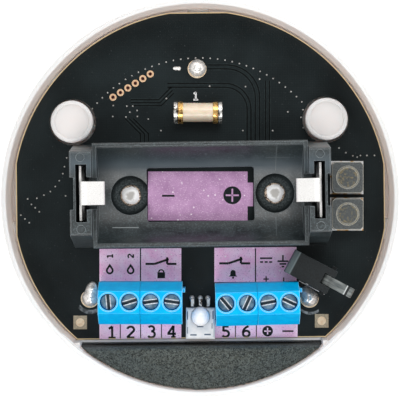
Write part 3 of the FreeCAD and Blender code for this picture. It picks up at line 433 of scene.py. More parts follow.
black = two_tones(tree, patches, srgb("#10181A"), srgb("#222C2F"))
pattern = {"Vector": place, "Scale": 1 / NYLON_SPECK, "Detail": 2.0}
speckle = add(tree, "ShaderNodeTexNoise", pattern).outputs[0]
black = two_tones(tree, speckle, black, srgb("#4C585B"), 0.5, 0.75)
# Painted reflection: a paler band across the trough near its back.
sheen = two_tones(tree, axes["Y"], black, srgb("#39474F"), *SHEEN_RISES)
black = two_tones(tree, axes["Y"], sheen, black, *SHEEN_FADES)
# Painted highlights on the edges, dimmer on the front wall.
pale = two_tones(tree, axes["Y"], srgb("#5A6468"), srgb("#8A9599"), *FRONT_WALL)
black = two_tones(tree, edges, black, pale, 0.1, 1.0)
for middle, reach, tone in MOULD_MARKS:
    line = inside_rect(tree, axes["X"], axes["Y"], middle, reach)
    black = two_tones(tree, line, black, srgb(tone), 0.0, 1.0)
shine = {0: patches, 1: BLOTCH_SPREAD[0], 2: BLOTCH_SPREAD[1], 3: 0.36, 4: 0.5}
shine = add(tree, "ShaderNodeMapRange", shine).outputs[0]
pattern = {"Vector": place, "Scale": 1 / NYLON_GRAIN, "Detail": 3.0}
grain = add(tree, "ShaderNodeTexNoise", pattern).outputs[0]
finish_with(tree, shader, black, grain, depth=0.012, normal=rounded, rough=shine)
dress(nylon, "battery_holder")

# %% [markdown]
# The battery contacts are spring steel strip plated with nickel. Rolling leaves very fine lines
# along the strip, and noise that is drawn out ten times along X gives them. The plate is matt and
# almost white, so it scatters light about as much as it mirrors it.

# %% Nickel-plated strip
ROLLING = 0.08
DRAWN_OUT = (0.1, 1.0, 1.0)
nickel, tree, shader, place = start_finish("nickel_plated_strip", Metallic=0.2, Roughness=0.3)
stretched = {0: place, 1: DRAWN_OUT}
stretched = add(tree, "ShaderNodeVectorMath", stretched, operation="MULTIPLY").outputs[0]
pattern = {"Vector": stretched, "Scale": 1 / ROLLING, "Detail": 2.0}
lines = add(tree, "ShaderNodeTexNoise", pattern).outputs[0]
shine = {0: lines, 1: BLOTCH_SPREAD[0], 2: BLOTCH_SPREAD[1], 3: 0.22, 4: 0.42}
shine = add(tree, "ShaderNodeMapRange", shine).outputs[0]
rounded = rounded_edges(tree, 0.08)[0]
silvery = two_tones(tree, lines, srgb("#F3F1ED"), srgb("#FEFDFB"))
finish_with(tree, shader, silvery, lines, depth=0.002, normal=rounded, rough=shine)
dress(nickel, "contact_left", "contact_right")

# %% [markdown]
# The terminal housings are blue polyamide, moulded with sharp edges and a slight bloom. Their
# edges and the mouths of the screw wells carry painted highlights, paler than the faces, but not
# where two housings meet. The wire entries in front are deep, so they go dark by themselves.

# %% Blue polyamide of the terminals
HOUSINGS = ("one_two", "three_four", "five_six", "plus_minus")
BLOOM_PATCH = 1.2
BLUE_GRAIN = 0.2
SEAMS = ((-10.8, -19.2), (10.34, -19.2))
SEAM_REACH = (0.22, 5.0)
blue, tree, shader, place = start_finish(
    "moulded_blue_polyamide", Roughness=0.4, IOR=1.53, Specular_IOR_Level=0.1,
    Subsurface_Weight=0.1, Subsurface_Scale=0.5 * MM)
axes = add(tree, "ShaderNodeSeparateXYZ", {0: place}).outputs
rounded, edges = rounded_edges(tree, 0.25, flat=0.999, sharp=0.9)
for seam in SEAMS:
    lone = {0: edges, 1: inside_rect(tree, axes["X"], axes["Y"], seam, SEAM_REACH)}
    edges = add(tree, "ShaderNodeMath", lone, operation="SUBTRACT", use_clamp=True).outputs[0]
pattern = {"Vector": place, "Scale": 1 / BLOOM_PATCH, "Detail": 4.0}
patches = add(tree, "ShaderNodeTexNoise", pattern).outputs[0]
body = two_tones(tree, patches, srgb("#00A8E8"), srgb("#00B4F0"))
# Painted highlights along the edges.
body = two_tones(tree, edges, body, srgb("#9CE0FF"), 0.15, 1.0)
pattern = {"Vector": place, "Scale": 1 / BLUE_GRAIN, "Detail": 2.0}
grain = add(tree, "ShaderNodeTexNoise", pattern).outputs[0]
finish_with(tree, shader, body, grain, depth=0.01, normal=rounded)
dress(blue, *("terminal_housing_" + name for name in HOUSINGS))

# %% [markdown]
# The terminal screws are zinc-plated steel with a dull dark passivation, mottled and a little
# rough. Below the top of the head, in the sawn slot, painted shade darkens the steel, and the edges
# carry painted highlights.

# %% Plated steel of the screws
POLES = ("one", "two", "three", "four", "five", "six", "plus", "minus")
PASSIVE_PATCH = 1.4
SCRATCH = 0.12
SHADE_BELOW_HEAD = (0.35, 0.2)
steel, tree, shader, place = start_finish("zinc_plated_steel", Metallic=1.0, Roughness=0.36)
rounded, edges = rounded_edges(tree, 0.14)
pattern = {"Vector": place, "Scale": 1 / PASSIVE_PATCH, "Detail": 5.0}
patches = add(tree, "ShaderNodeTexNoise", pattern).outputs[0]
grey = two_tones(tree, patches, srgb("#557A92"), srgb("#A6CAE0"))
height = add(tree, "ShaderNodeSeparateXYZ", {0: place}).outputs["Z"]
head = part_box("terminal_screw_one")[1][2] / MM
shaded, unshaded = (head - below for below in SHADE_BELOW_HEAD)
# Painted shade in the slot, below the top of the head.
grey = two_tones(tree, height, srgb("#56626A"), grey, shaded, unshaded)
# Painted highlights on the edges.
grey = two_tones(tree, edges, grey, srgb("#E4E2DE"), 0.1, 0.7)
pattern = {"Vector": place, "Scale": 1 / SCRATCH, "Detail": 3.0}
scratches = add(tree, "ShaderNodeTexNoise", pattern).outputs[0]
finish_with(tree, shader, grey, scratches, depth=0.02, normal=rounded)
dress(steel, *("terminal_screw_" + name for name in POLES))

# %% [markdown]
# The clamp cages behind the screws are zinc plated and bright. The contact bars are tinned,
# because they are soldered. The three leads of the light are copper that was dipped in solder,
# which left drips and brown bare patches on them.

# %% Cages, bars and leads
cage_steel = blotched("bright_zinc_cage", "#B9BBB8", "#D2D2CC", size=0.8, depth=0.01, detail=4.0,
                      edge=0.1, Metallic=1.0, Roughness=0.28)
dress(cage_steel, *("clamp_cage_" + name for name in POLES))
tin = blotched("dipped_tin", "#C4C3C0", "#DEDCD8", size=0.6, depth=0.02, edge=0.1, Metallic=0.7,
               Roughness=0.32)
dress(tin, *("contact_bars_" + name for name in HOUSINGS))
lead = blotched("tinned_copper_lead", "#4A3826", "#FFFBF2", size=0.4, depth=0.05, detail=2.0,
                change=(0.42, 0.54), Metallic=0.3, Roughness=0.3)
dress(lead, "light_leads")


# %% [markdown]
# The tamper switch body is black polyester with a coarse matt grain. Its back end face is painted
# a lighter grey as a painted highlight, and its edges carry pale painted highlights.
# The switch stands turned on the board, so tones on it are placed by how far a point lies along
# the lever from the switch's back corner.

# %% Switch body
SWITCH_SPOT = Vector((16.5, -11.5, 0.0))
SWITCH_TURN = math.radians(-28.0)
LEVER_WAY = Vector((math.cos(SWITCH_TURN), math.sin(SWITCH_TURN), 0.0))
LEVER_SIDE = Vector((-math.sin(SWITCH_TURN), math.cos(SWITCH_TURN), 0.0))
POLYESTER_GRAIN = 0.25
LIT_END_FACE = (0.85, 1.05)


def along_lever(tree, place, way=LEVER_WAY):
    """How far a point lies along the lever, or another way, from the switch's back corner."""
    offset = {0: place, 1: SWITCH_SPOT}
    offset = add(tree, "ShaderNodeVectorMath", offset, operation="SUBTRACT").outputs[0]
    along = {0: offset, 1: way}
    return add(tree, "ShaderNodeVectorMath", along, operation="DOT_PRODUCT").outputs["Value"]


polyester, tree, shader, place = start_finish("moulded_black_polyester", Roughness=0.6,
                                              Specular_IOR_Level=0.35)
rounded, edges = rounded_edges(tree, 0.12)
pattern = {"Vector": place, "Scale": 1 / POLYESTER_GRAIN, "Detail": 5.0}
grain = add(tree, "ShaderNodeTexNoise", pattern).outputs[0]
black = two_tones(tree, grain, srgb("#070C0E"), srgb("#141B1D"))
# Painted highlights on the edges.
black = two_tones(tree, edges, black, srgb("#6A7274"), 0.2, 1.0)
# Painted highlight: the back end face is painted a lighter grey.
black = two_tones(tree, along_lever(tree, place), srgb("#5F6A6C"), black, *LIT_END_FACE)
finish_with(tree, shader, black, grain, depth=0.03, normal=rounded)
dress(polyester, "switch_body", "switch_feet")

# %% [markdown]
# The lever is grey acetal with streaks from the moulding flow, and noise that is stretched along
# it gives them. Near the tip a groove crosses it, drawn as a band of painted shade, with a painted
# highlight on the edge beside it; the edges also carry painted highlights.

# %% Lever
GROOVE_SHADE_MIDDLE, GROOVE_SHADE_REACH = 11.55, 0.2
HIGHLIGHT_MIDDLE, HIGHLIGHT_REACH = 11.23, 0.1
STREAK_WIDE = 0.5
STREAK_STRETCH = 0.12
acetal, tree, shader, place = start_finish("moulded_grey_acetal", Roughness=0.4)
rounded, edges = rounded_edges(tree, 0.12)
along = along_lever(tree, place)
drawn = add(tree, "ShaderNodeMath", {0: along, 1: STREAK_STRETCH}, operation="MULTIPLY").outputs[0]
flow = {0: drawn, 1: along_lever(tree, place, LEVER_SIDE)}
flow = add(tree, "ShaderNodeCombineXYZ", flow).outputs[0]
pattern = {"Vector": flow, "Scale": 1 / STREAK_WIDE, "Detail": 4.0}
streaks = add(tree, "ShaderNodeTexNoise", pattern).outputs[0]
grey = two_tones(tree, streaks, srgb("#3F4647"), srgb("#858A88"))
# Painted highlights on the edges.
grey = two_tones(tree, edges, grey, srgb("#8E9493"), 0.2, 1.0)
# A painted highlight beside the groove, and painted shade in the groove.
for middle, reach, tone in ((HIGHLIGHT_MIDDLE, HIGHLIGHT_REACH, "#BFC4C3"),
                            (GROOVE_SHADE_MIDDLE, GROOVE_SHADE_REACH, "#202325")):
    band = {0: along, 1: middle, 2: reach}
    band = add(tree, "ShaderNodeMath", band, operation="COMPARE").outputs[0]
    grey = two_tones(tree, band, grey, srgb(tone), 0.0, 1.0)
finish_with(tree, shader, grey, streaks, depth=0.02, normal=rounded)
dress(acetal, "tamper_lever")

# %% [markdown]
# The status light is a milky epoxy lamp in a light guide of frosted polycarbonate, which looks
# whitish and lets only part of the light through. It needs some transmission and the index of
# polycarbonate, 1.58. Its narrow slots are painted as bluish shade, and its edges as white
# painted highlights. The lamp scatters light inside: subsurface gives that soft white.

# %% Light holder and lamp
SWIRL = 1.5
SLOT_SHADES = (((-1.2, -25.05), (0.58, 0.13)), ((1.37, -24.98), (0.58, 0.13)),
         ((0.03, -23.55), (0.6, 0.09)), ((-2.27, -21.5), (0.1, 0.75)),
         ((2.36, -21.4), (0.1, 0.75)), ((-2.27, -24.2), (0.07, 0.6)), ((2.2, -23.4), (0.07, 0.5)))
clear, tree, shader, place = start_finish("moulded_frosted_polycarbonate", Roughness=0.3, IOR=1.58,
                                          Transmission_Weight=0.25)
axes = add(tree, "ShaderNodeSeparateXYZ", {0: place}).outputs
pattern = {"Vector": place, "Scale": 1 / SWIRL, "Detail": 2.0}
swirls = add(tree, "ShaderNodeTexNoise", pattern).outputs[0]
rounded, edges = rounded_edges(tree, 0.15)
tint = two_tones(tree, swirls, srgb("#E4E9EE"), srgb("#FCFDFE"))
# Painted highlights on the edges.
tint = two_tones(tree, edges, tint, srgb("#FFFFFF"), 0.0, 1.0)
# Painted shade in the narrow slots.
for middle, reach in SLOT_SHADES:
    slot_shade = inside_rect(tree, axes["X"], axes["Y"], middle, reach)
    tint = two_tones(tree, slot_shade, tint, srgb("#55697E"), 0.0, 1.0)
finish_with(tree, shader, tint, swirls, depth=0.03, normal=rounded)
dress(clear, "light_holder")
milky = blotched("diffused_white_epoxy", "#E9EDF6", "#F8F9FD", size=1.2, depth=0.02, Roughness=0.3,
                 Subsurface_Weight=0.6, Subsurface_Scale=1.5 * MM,
                 Subsurface_Radius=(1.0, 1.0, 1.0))
dress(milky, "status_light")

# %% [markdown]
# The tilt sensor is a cream sleeve between two caps. A thin clear coat gives the sleeve its gloss.
# The probe barrels and tips under the base are gold-plated all over, which keeps them from
# rusting.

# %% Sleeve and gold plate
PROBES = ("back", "left", "right")
cream = blotched("moulded_cream_sleeve", "#DFCCB4", "#E6D6C0", size=1.0, depth=0.015,
                 Roughness=0.32, Coat_Weight=0.4, Subsurface_Weight=0.15,
                 Subsurface_Scale=0.6 * MM)
dress(cream, "tilt_tube")
gold = blotched("gold_plated_brass", "#D6B06A", "#F0D79E", size=0.5, depth=0.008, detail=5.0,
                edge=0.1, shine=(0.18, 0.38), Metallic=1.0, Roughness=0.26)
dress(gold, *("probe_barrel_" + name for name in PROBES), *("probe_tip_" + name for name in PROBES))

# %% [markdown]
# Each cap of the tilt sensor is bare nickel at its end and gold towards the sleeve, with a dark
# seam between, and both metals are worn in patches. The distance from the sensor's nearer end
# places the bands, so one finish serves both caps.

# %% Caps of the tilt sensor
CAP_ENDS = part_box("tilt_cap_left")[0][0] / MM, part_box("tilt_cap_right")[1][0] / MM
NICKEL_BAND = 0.7
WORN_PATCH = 0.6
BAND_BLUR = 0.04
SEAM_HALF = 0.07
banded, tree, shader, place = start_finish("part_plated_cap", Metallic=0.7, Roughness=0.24)
x = add(tree, "ShaderNodeSeparateXYZ", {0: place}).outputs["X"]
offset = {0: x, 1: sum(CAP_ENDS) / 2}
offset = add(tree, "ShaderNodeMath", offset, operation="SUBTRACT").outputs[0]
away = add(tree, "ShaderNodeMath", {0: offset}, operation="ABSOLUTE").outputs[0]
inset = {0: (CAP_ENDS[1] - CAP_ENDS[0]) / 2, 1: away}
inset = add(tree, "ShaderNodeMath", inset, operation="SUBTRACT").outputs[0]
rounded = rounded_edges(tree, 0.1)[0]
pattern = {"Vector": place, "Scale": 1 / WORN_PATCH, "Detail": 3.0}
worn = add(tree, "ShaderNodeTexNoise", pattern).outputs[0]
plated = two_tones(tree, worn, srgb("#6A4420"), srgb("#FBCB7C"), 0.38, 0.5)
bright = two_tones(tree, worn, srgb("#5C5850"), srgb("#FBFAF6"), 0.38, 0.46)
face = two_tones(tree, inset, bright, plated, NICKEL_BAND - BAND_BLUR, NICKEL_BAND + BAND_BLUR)
seam = {0: inset, 1: NICKEL_BAND, 2: SEAM_HALF}
seam = add(tree, "ShaderNodeMath", seam, operation="COMPARE").outputs[0]
face = two_tones(tree, seam, face, srgb("#4A3416"), 0.0, 1.0)
finish_with(tree, shader, face, worn, depth=0.02, normal=rounded)
dress(banded, "tilt_cap_left", "tilt_cap_right")

# %% [markdown]
# A power inductor is pressed from iron powder, so its face is a grainy dark grey, with a shallow
# disc from the press in its middle that is mottled brown, most of all near its rim. The disc is
# drawn by distance from the middle of each one. The edges carry pale painted highlights.

# %% Pressed iron powder
INDUCTORS = ("inductor_back", "inductor_front")
DISC = 2.1
MOTTLE = 0.5
POWDER_GRAIN = 0.22
DISC_RIM = {1: DISC - 0.8, 2: DISC - 0.1, 3: 0.38, 4: 0.47}
MOTTLE_SHOWS = {1: 0.9, 2: 1.02}
for name in INDUCTORS:
    powder, tree, shader, place = start_finish("pressed_iron_powder_" + name, Roughness=0.55)
    axes = add(tree, "ShaderNodeSeparateXYZ", {0: place}).outputs
    across = add(tree, "ShaderNodeCombineXYZ", {"X": axes["X"], "Y": axes["Y"]}).outputs[0]
    spot = {0: across, 1: (*middle_of(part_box(name)), 0.0)}
    away = add(tree, "ShaderNodeVectorMath", spot, operation="DISTANCE").outputs["Value"]
    on_disc = add(tree, "ShaderNodeMath", {0: away, 1: DISC}, operation="LESS_THAN").outputs[0]
    ring = add(tree, "ShaderNodeMapRange", {0: away, **DISC_RIM}).outputs[0]
    pattern = {"Vector": place, "Scale": 1 / MOTTLE, "Detail": 4.0}
    spots = add(tree, "ShaderNodeTexNoise", pattern).outputs[0]
    mottle = add(tree, "ShaderNodeMath", {0: ring, 1: spots}, operation="ADD").outputs[0]
    mottle = add(tree, "ShaderNodeMapRange", {0: mottle, **MOTTLE_SHOWS}).outputs[0]
    mottle = add(tree, "ShaderNodeMath", {0: mottle, 1: on_disc}, operation="MULTIPLY").outputs[0]
    pattern = {"Vector": place, "Scale": 1 / POWDER_GRAIN, "Detail": 4.0}
    grain = add(tree, "ShaderNodeTexNoise", pattern).outputs[0]
    rounded, edges = rounded_edges(tree, 0.3, flat=0.999, sharp=0.9)
    face = two_tones(tree, grain, srgb("#34393A"), srgb("#5A5F60"))
    burnt = two_tones(tree, grain, srgb("#5E563F"), srgb("#8C8062"))
    face = two_tones(tree, mottle, face, burnt, 0.0, 1.0)
    # Painted highlights on the edges.
    face = two_tones(tree, edges, face, srgb("#C9C6BA"), 0.2, 1.0)
    finish_with(tree, shader, face, grain, depth=0.04, normal=rounded)
    dress(powder, name)

# %% [markdown]
# The frame under an inductor is reflowed solder, which turned golden in places; its white pools
# are the bright solder with a painted sheen on it. It has a gap half way along its outer side.

# %% Frames of the inductors
SOLDER_POOL = 1.1
FRAME_GAP = (0.5, 0.7)
for name in INDUCTORS:
    frame_name = name.replace("inductor", "inductor_frame")
    gap_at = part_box(frame_name)[1][0] / MM, middle_of(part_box(name))[1]
    shiny, tree, shader, place = start_finish("reflowed_solder_" + name, Metallic=0.2,
                                              Roughness=0.25)
    axes = add(tree, "ShaderNodeSeparateXYZ", {0: place}).outputs
    pattern = {"Vector": place, "Scale": 1 / SOLDER_POOL, "Detail": 3.0}
    pools = add(tree, "ShaderNodeTexNoise", pattern).outputs[0]
    # Painted sheen: white pools in the golden solder.
    sheen = two_tones(tree, pools, srgb("#D9A45A"), srgb("#FFFFFF"), 0.38, 0.5)
    open_side = inside_rect(tree, axes["X"], axes["Y"], gap_at, FRAME_GAP)
    sheen = two_tones(tree, open_side, sheen, srgb("#26292A"), 0.0, 1.0)
    finish_with(tree, shader, sheen, pools, depth=0.05)
    dress(shiny, frame_name)

# %% [markdown]
# Some pieces are out of sight: the springs in the probe barrels, the radio module's can and the
# sounder disc under the board. They still get their real finishes, because the model may be
# opened or cut. The springs are drawn steel wire, the can is nickel silver and the disc is brass.

# %% Hidden metal
wire = blotched("drawn_spring_steel", "#8E9296", "#B5B8BA", size=0.1, depth=0.004, detail=2.0,
                Metallic=1.0, Roughness=0.3)
dress(wire, *("probe_spring_" + name for name in PROBES))
can = blotched("stamped_nickel_silver", "#A9A79E", "#C7C4BA", size=0.6, depth=0.01, detail=5.0,
               Metallic=1.0, Roughness=0.38)
dress(can, "radio_module")
brass = blotched("rolled_brass_disc", "#B8964E", "#D3B46A", size=0.6, depth=0.008, detail=5.0,
                 Metallic=1.0, Roughness=0.34)
dress(brass, "sounder_disc")

# %% [markdown]
# A probe's spring is a compression spring, so it gets shorter as its tip is pressed in; it is
# squashed towards its upper end and keeps 0.6 of its length when the tip is all the way in. Here
# each spring only gets its own copy of its mesh, and its length is printed.

# %% Springs
for name in PROBES:
    spring = bpy.data.objects["probe_spring_" + name]
    low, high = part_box(spring.name)
    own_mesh(spring)
    print(spring.name, "%.1f mm long" % ((high[2] - low[2]) / MM))


# %% [markdown]
# What is printed or plated on a board is a film a few hundredths of a millimetre thick. Each film
# here is a closed plate: an outline, drawn in millimetres on the board, raised between two
# heights above it. All plates of one kind share a mesh, so the board carries few objects.

# %% Plates on the board
def new_piece(name, mesh, material, body="sensor"):
    """Put a mesh into the scene as a piece that rides on a body."""
    for polygon in mesh.polygons:
        polygon.use_smooth = False
    mesh.materials.append(material)
    piece = bpy.data.objects.new(name, mesh)
    bpy.context.scene.collection.objects.link(piece)
    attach(piece, body)
    return piece


def plate(bm, outer, low, high, inner=None):
    """Raise one outline, or the band between two outlines with as many points, into a plate."""
    def corner(x, y, z):
        return bm.verts.new((x * MM, y * MM, (BOARD_TOP + z) * MM))

    loops = [[corner(x, y, z) for x, y in loop]
             for loop in (outer, inner) if loop for z in (low, high)]
    count = len(outer)
    for index in range(count):
        after = (index + 1) % count
        bm.faces.new((loops[0][index], loops[0][after], loops[1][after], loops[1][index]))
        if inner:
            bm.faces.new((loops[2][after], loops[2][index], loops[3][index], loops[3][after]))
            bm.faces.new((loops[1][index], loops[1][after], loops[3][after], loops[3][index]))
            bm.faces.new((loops[0][after], loops[0][index], loops[2][index], loops[2][after]))
    if not inner:
        bm.faces.new(loops[1])
        bm.faces.new(reversed(loops[0]))


def film(name, shapes, low, high, material, body="sensor"):
    """One object made of plates between two heights above the board.

    A shape is an outline, or a pair of outlines for a band.
    """
    bm = bmesh.new()
    for shape in shapes:
        if isinstance(shape[0][0], (int, float)):
            plate(bm, shape, low, high)
        else:
            plate(bm, shape[0], low, high, shape[1])
    mesh = bpy.data.meshes.new(name)
    bm.to_mesh(mesh)
    bm.free()
    print(name, len(shapes), "plates")
    return new_piece(name, mesh, material, body)


# %% [markdown]
# The outlines come from a few drawing helpers: a rectangle, a circle, an arc as a row of points,
# and a stroke, which gives a row of points a width, as a pen does.

# %% Drawing helpers
def rect(left, right, front, back):
    """The corners of a rectangle."""
    return [(left, front), (right, front), (right, back), (left, back)]


def centred_rect(x, y, half_wide, half_deep):
    """The corners of a rectangle about its middle."""
    return rect(x - half_wide, x + half_wide, y - half_deep, y + half_deep)


def arc(x, y, radius, start, end, count=12):
    """Points on an arc between two angles in degrees."""
    angles = [math.radians(start + (end - start) * i / count) for i in range(count + 1)]
    return [(x + radius * math.cos(a), y + radius * math.sin(a)) for a in angles]


def circle(x, y, radius, count=20):
    """Points all around a circle."""
    return arc(x, y, radius, 0, 360, count)[:-1]


def stroke(points, width):
    """The outline of a pen line along a row of points."""
    left, right = [], []
    for index, (x, y) in enumerate(points):
        before = points[max(index - 1, 0)]
        after = points[min(index + 1, len(points) - 1)]
        dx, dy = after[0] - before[0], after[1] - before[1]
        size = math.hypot(dx, dy) or 1.0
        px, py = -dy / size * width / 2, dx / size * width / 2
        left.append((x + px, y + py))
        right.append((x - px, y - py))
    return right + left[::-1]


print("a stroke of two points has", len(stroke([(0, 0), (1, 0)], 0.2)), "corners")

# %% [markdown]
# The legend panels are screen-printed in a lilac ink. The ink is thin, so the weave of the cloth
# shows through it as a fine texture, with pale specks where it lies thin over the glass knots.
# The ink in the cradle's window is painted darker, as painted shade, and the two rows in front are
# painted lighter, as painted light.
# The real panels carry words. Here they carry only numbers and plain symbols.

# %% Lilac ink
BEHIND_UPPER_ROW = (-10.0, -7.0)
BEHIND_LOWER_ROW = (-23.0, -22.0)
INK_CLOUD = 2.5
THREAD = 0.22
KNOT_APART = 1.3
lilac, tree, shader, place = start_finish("screen_printed_lilac_ink", Roughness=0.5)
y = add(tree, "ShaderNodeSeparateXYZ", {0: place}).outputs["Y"]
pattern = {"Vector": place, "Scale": 1 / INK_CLOUD, "Detail": 5.0}
clouds = add(tree, "ShaderNodeTexNoise", pattern).outputs[0]
# Painted shade: the ink in the cradle's window is darker.
ink = two_tones(tree, clouds, srgb("#B184B0"), srgb("#CC9FCA"), 0.3, 0.7)
# Painted light: the two rows in front are painted lighter.
upper = two_tones(tree, clouds, srgb("#FCBDE8"), srgb("#FFDAF7"), 0.35, 0.62)
lower = two_tones(tree, clouds, srgb("#FFCCF2"), srgb("#FFE3FC"), 0.35, 0.62)
ink = two_tones(tree, y, upper, ink, *BEHIND_UPPER_ROW)
ink = two_tones(tree, y, lower, ink, *BEHIND_LOWER_ROW)
pattern = {"Vector": place, "Scale": 1 / THREAD, "Detail": 2.0}
threads = add(tree, "ShaderNodeTexNoise", pattern).outputs[0]
ink = two_tones(tree, threads, srgb("#B282B2"), ink, 0.26, 0.4)
ink = two_tones(tree, threads, ink, srgb("#FFEBFA"), 0.57, 0.85)
pattern = {"Vector": place, "Scale": 1 / KNOT_APART}
knots = add(tree, "ShaderNodeTexVoronoi", pattern).outputs["Distance"]
ink = two_tones(tree, knots, srgb("#FFF4FC"), ink, 0.06, 0.15)
finish_with(tree, shader, ink, threads, depth=0.015)
print(lilac.name, "has", len(tree.nodes), "nodes")

# %% [markdown]
# One row of panels lies behind the terminals and one in front, and a last panel shows in the
# cradle's window. The rows are plain rectangles that lie with the board, which is turned a little.

# %% Legend panels
UPPER = (-15.6, -9.25)
LOWER = (-25.9, -22.6)
PANEL_LEFT = (-18.55, -3.45)
PANEL_RIGHT = (2.65, 17.8)
LOWER_RIGHT_END = 18.0
WINDOW = [rect(-9.6, 8.77, -4.19, 4.85), rect(8.77, 9.8, -1.57, 2.8)]


def with_board(shape):
    """Lay an outline with the board, which is turned a little about the middle."""
    return [(x, y + math.tan(BOARD_TURN) * x) for x, y in shape]


panels = [rect(*PANEL_LEFT, *UPPER), rect(*PANEL_RIGHT, *UPPER),
          rect(*PANEL_LEFT, *LOWER), rect(PANEL_RIGHT[0], LOWER_RIGHT_END, *LOWER)]
panels = [with_board(shape) for shape in panels] + WINDOW
film("legend_panels", panels, 0.0, 0.02, lilac)


# %% [markdown]
# A numeral is a few pen lines in a box that is 1 high. A bold one is drawn with a pen 0.42 mm
# wide and stands 2.1 mm high. Small ones are turned on their side, as they stand beside the drops.

# %% Numerals
DIGITS = {
    "1": [[(0.05, 0.8), (0.33, 1.0)], [(0.32, 0.0), (0.32, 1.0)], [(0.03, 0.0), (0.6, 0.0)]],
    "2": [arc(0.3, 0.7, 0.27, 165, -20) + [(0.03, 0.02)], [(0.0, 0.0), (0.6, 0.0)]],
    "3": [arc(0.27, 0.76, 0.23, 150, -90), arc(0.27, 0.27, 0.28, 90, -150)],
    "4": [[(0.42, 1.0), (0.0, 0.3)], [(-0.05, 0.3), (0.62, 0.3)], [(0.42, 0.0), (0.42, 1.02)],
          [(0.24, 0.0), (0.6, 0.0)]],
    "5": [[(0.08, 1.0), (0.54, 1.0)], [(0.1, 1.03), (0.09, 0.52)], arc(0.26, 0.31, 0.3, 125, -145)],
    "6": [arc(0.3, 0.29, 0.28, 0, 360, 20), arc(0.68, 0.36, 0.66, 105, 180)],
}
DIGIT_MIDDLE = 0.3
DIGIT_WIDE = 1.12
NUMERAL_HIGH = 2.08
PEN = 0.42


def numeral(text, x, y, high=NUMERAL_HIGH, pen=PEN):
    """Pen strokes of a numeral whose foot is centred on a point."""
    wide = DIGIT_WIDE * high
    return [stroke([(x + (u - DIGIT_MIDDLE) * wide, y + v * high) for u, v in line], pen)
            for line in DIGITS[text]]


def on_its_side(shapes, x, y):
    """Turn outlines drawn about the origin so that they read upwards, and move them to a place."""
    return [[(x - v, y + u) for u, v in shape] for shape in shapes]


print("numerals", " ".join(DIGITS))

# %% [markdown]
# The symbols are the usual ones: a drop for a water probe, a contact, a padlock for tampering, a
# bell, direct current and ground. Each is drawn about its own middle and then set to its size.

# %% Symbols
CONTACT = [[(-1.5, 0.0), (-0.6, 0.0)], [(-0.6, 0.0), (0.75, 0.46)], [(0.6, 0.0), (1.5, 0.0)],
           [(0.6, 0.0), (0.6, 0.64)]]
BELL = [(-0.75, -0.5), (0.75, -0.5), (0.48, -0.25), *arc(0.0, 0.2, 0.45, 0, 180, 10), (-0.48, -0.25)]
DIRECT = [[(-0.8, 0.25), (0.8, 0.25)], [(-0.8, -0.25), (-0.4, -0.25)],
          [(-0.2, -0.25), (0.2, -0.25)], [(0.4, -0.25), (0.8, -0.25)]]
GROUND = [[(0.0, 0.9), (0.0, 0.0)], [(-0.8, 0.0), (0.8, 0.0)], [(-0.5, -0.4), (0.5, -0.4)],
          [(-0.2, -0.8), (0.2, -0.8)]]
DROP = [(0.0, 1.0)] + arc(0.0, -0.1, 0.62, 35, -215, 16)
DROP_HOLE = [(u * 0.52, v * 0.52 - 0.05) for u, v in DROP]


def set_at(shape, x, y, size):
    """Move an outline or a row of points to a place and give it its size."""
    return [(x + u * size, y + v * size) for u, v in shape]


def pen_symbol(rows, x, y, size, pen):
    """A symbol made of pen lines about the origin."""
    return [stroke(set_at(row, x, y, size), pen) for row in rows]


print("a drop has", len(DROP), "points")

# %% [markdown]
# Dividers, numerals and symbols are left free of the lilac, so they show the black mask. Each
# stands at its real place beside the terminals. The numerals 5 and 6 are a little smaller.

# %% Signs on the panels
BIG_NUMERALS = (("1", -16.25), ("2", -12.8), ("3", -8.93), ("4", -5.19), ("5", 4.77), ("6", 8.53))
FOOT_LEFT, FOOT_RIGHT = -25.66, -25.72
SMALLER = 0.93
SMALL_NUMERALS = (("1", -16.65), ("2", -12.8))
SMALL_HIGH, SMALL_PEN, SMALL_Y = 1.0, 0.27, -10.75
DROP_Y, DROP_SIZE = -13.3, 1.15
PEN_SYMBOLS = ((CONTACT, -7.2, -12.2, 1.9, 0.4), (CONTACT, 6.4, -12.1, 1.9, 0.4),
               (DIRECT, 12.2, -11.5, 1.4, 0.3), (GROUND, 15.3, -11.7, 1.25, 0.3))
BELL_WITH_CLAPPER = [set_at(BELL, 6.1, -14.0, 1.05), circle(6.1, -14.75, 0.2, 12)]
LOWER_DIVIDERS = (-14.7, -10.96, -7.1, 6.53, 10.4)
UPPER_DIVIDERS = (-10.98, 10.24)
LOWER_DIVIDER_HALF, UPPER_DIVIDER_HALF = 0.09, 0.11
DISCS = ((12.47, -24.6, 0.98), (5.96, 0.46, 1.66))
PLUSES = ((12.47, -24.6, 0.62, 0.12), (5.96, 0.46, 1.21, 0.15))
MINUS_SIGNS = [rect(15.2, 17.25, -24.75, -24.45), rect(-7.0, -4.7, 0.18, 0.54)]
PADLOCK = [rect(-7.85, -6.45, -14.85, -13.75), stroke(arc(-7.15, -13.75, 0.46, 0, 180, 12), 0.24)]
SMALL_PLUS = [rect(11.7, 12.7, -15.12, -14.88), rect(12.08, 12.32, -15.5, -14.5)]
SMALL_MINUS = [rect(15.31, 15.55, -15.45, -14.7)]

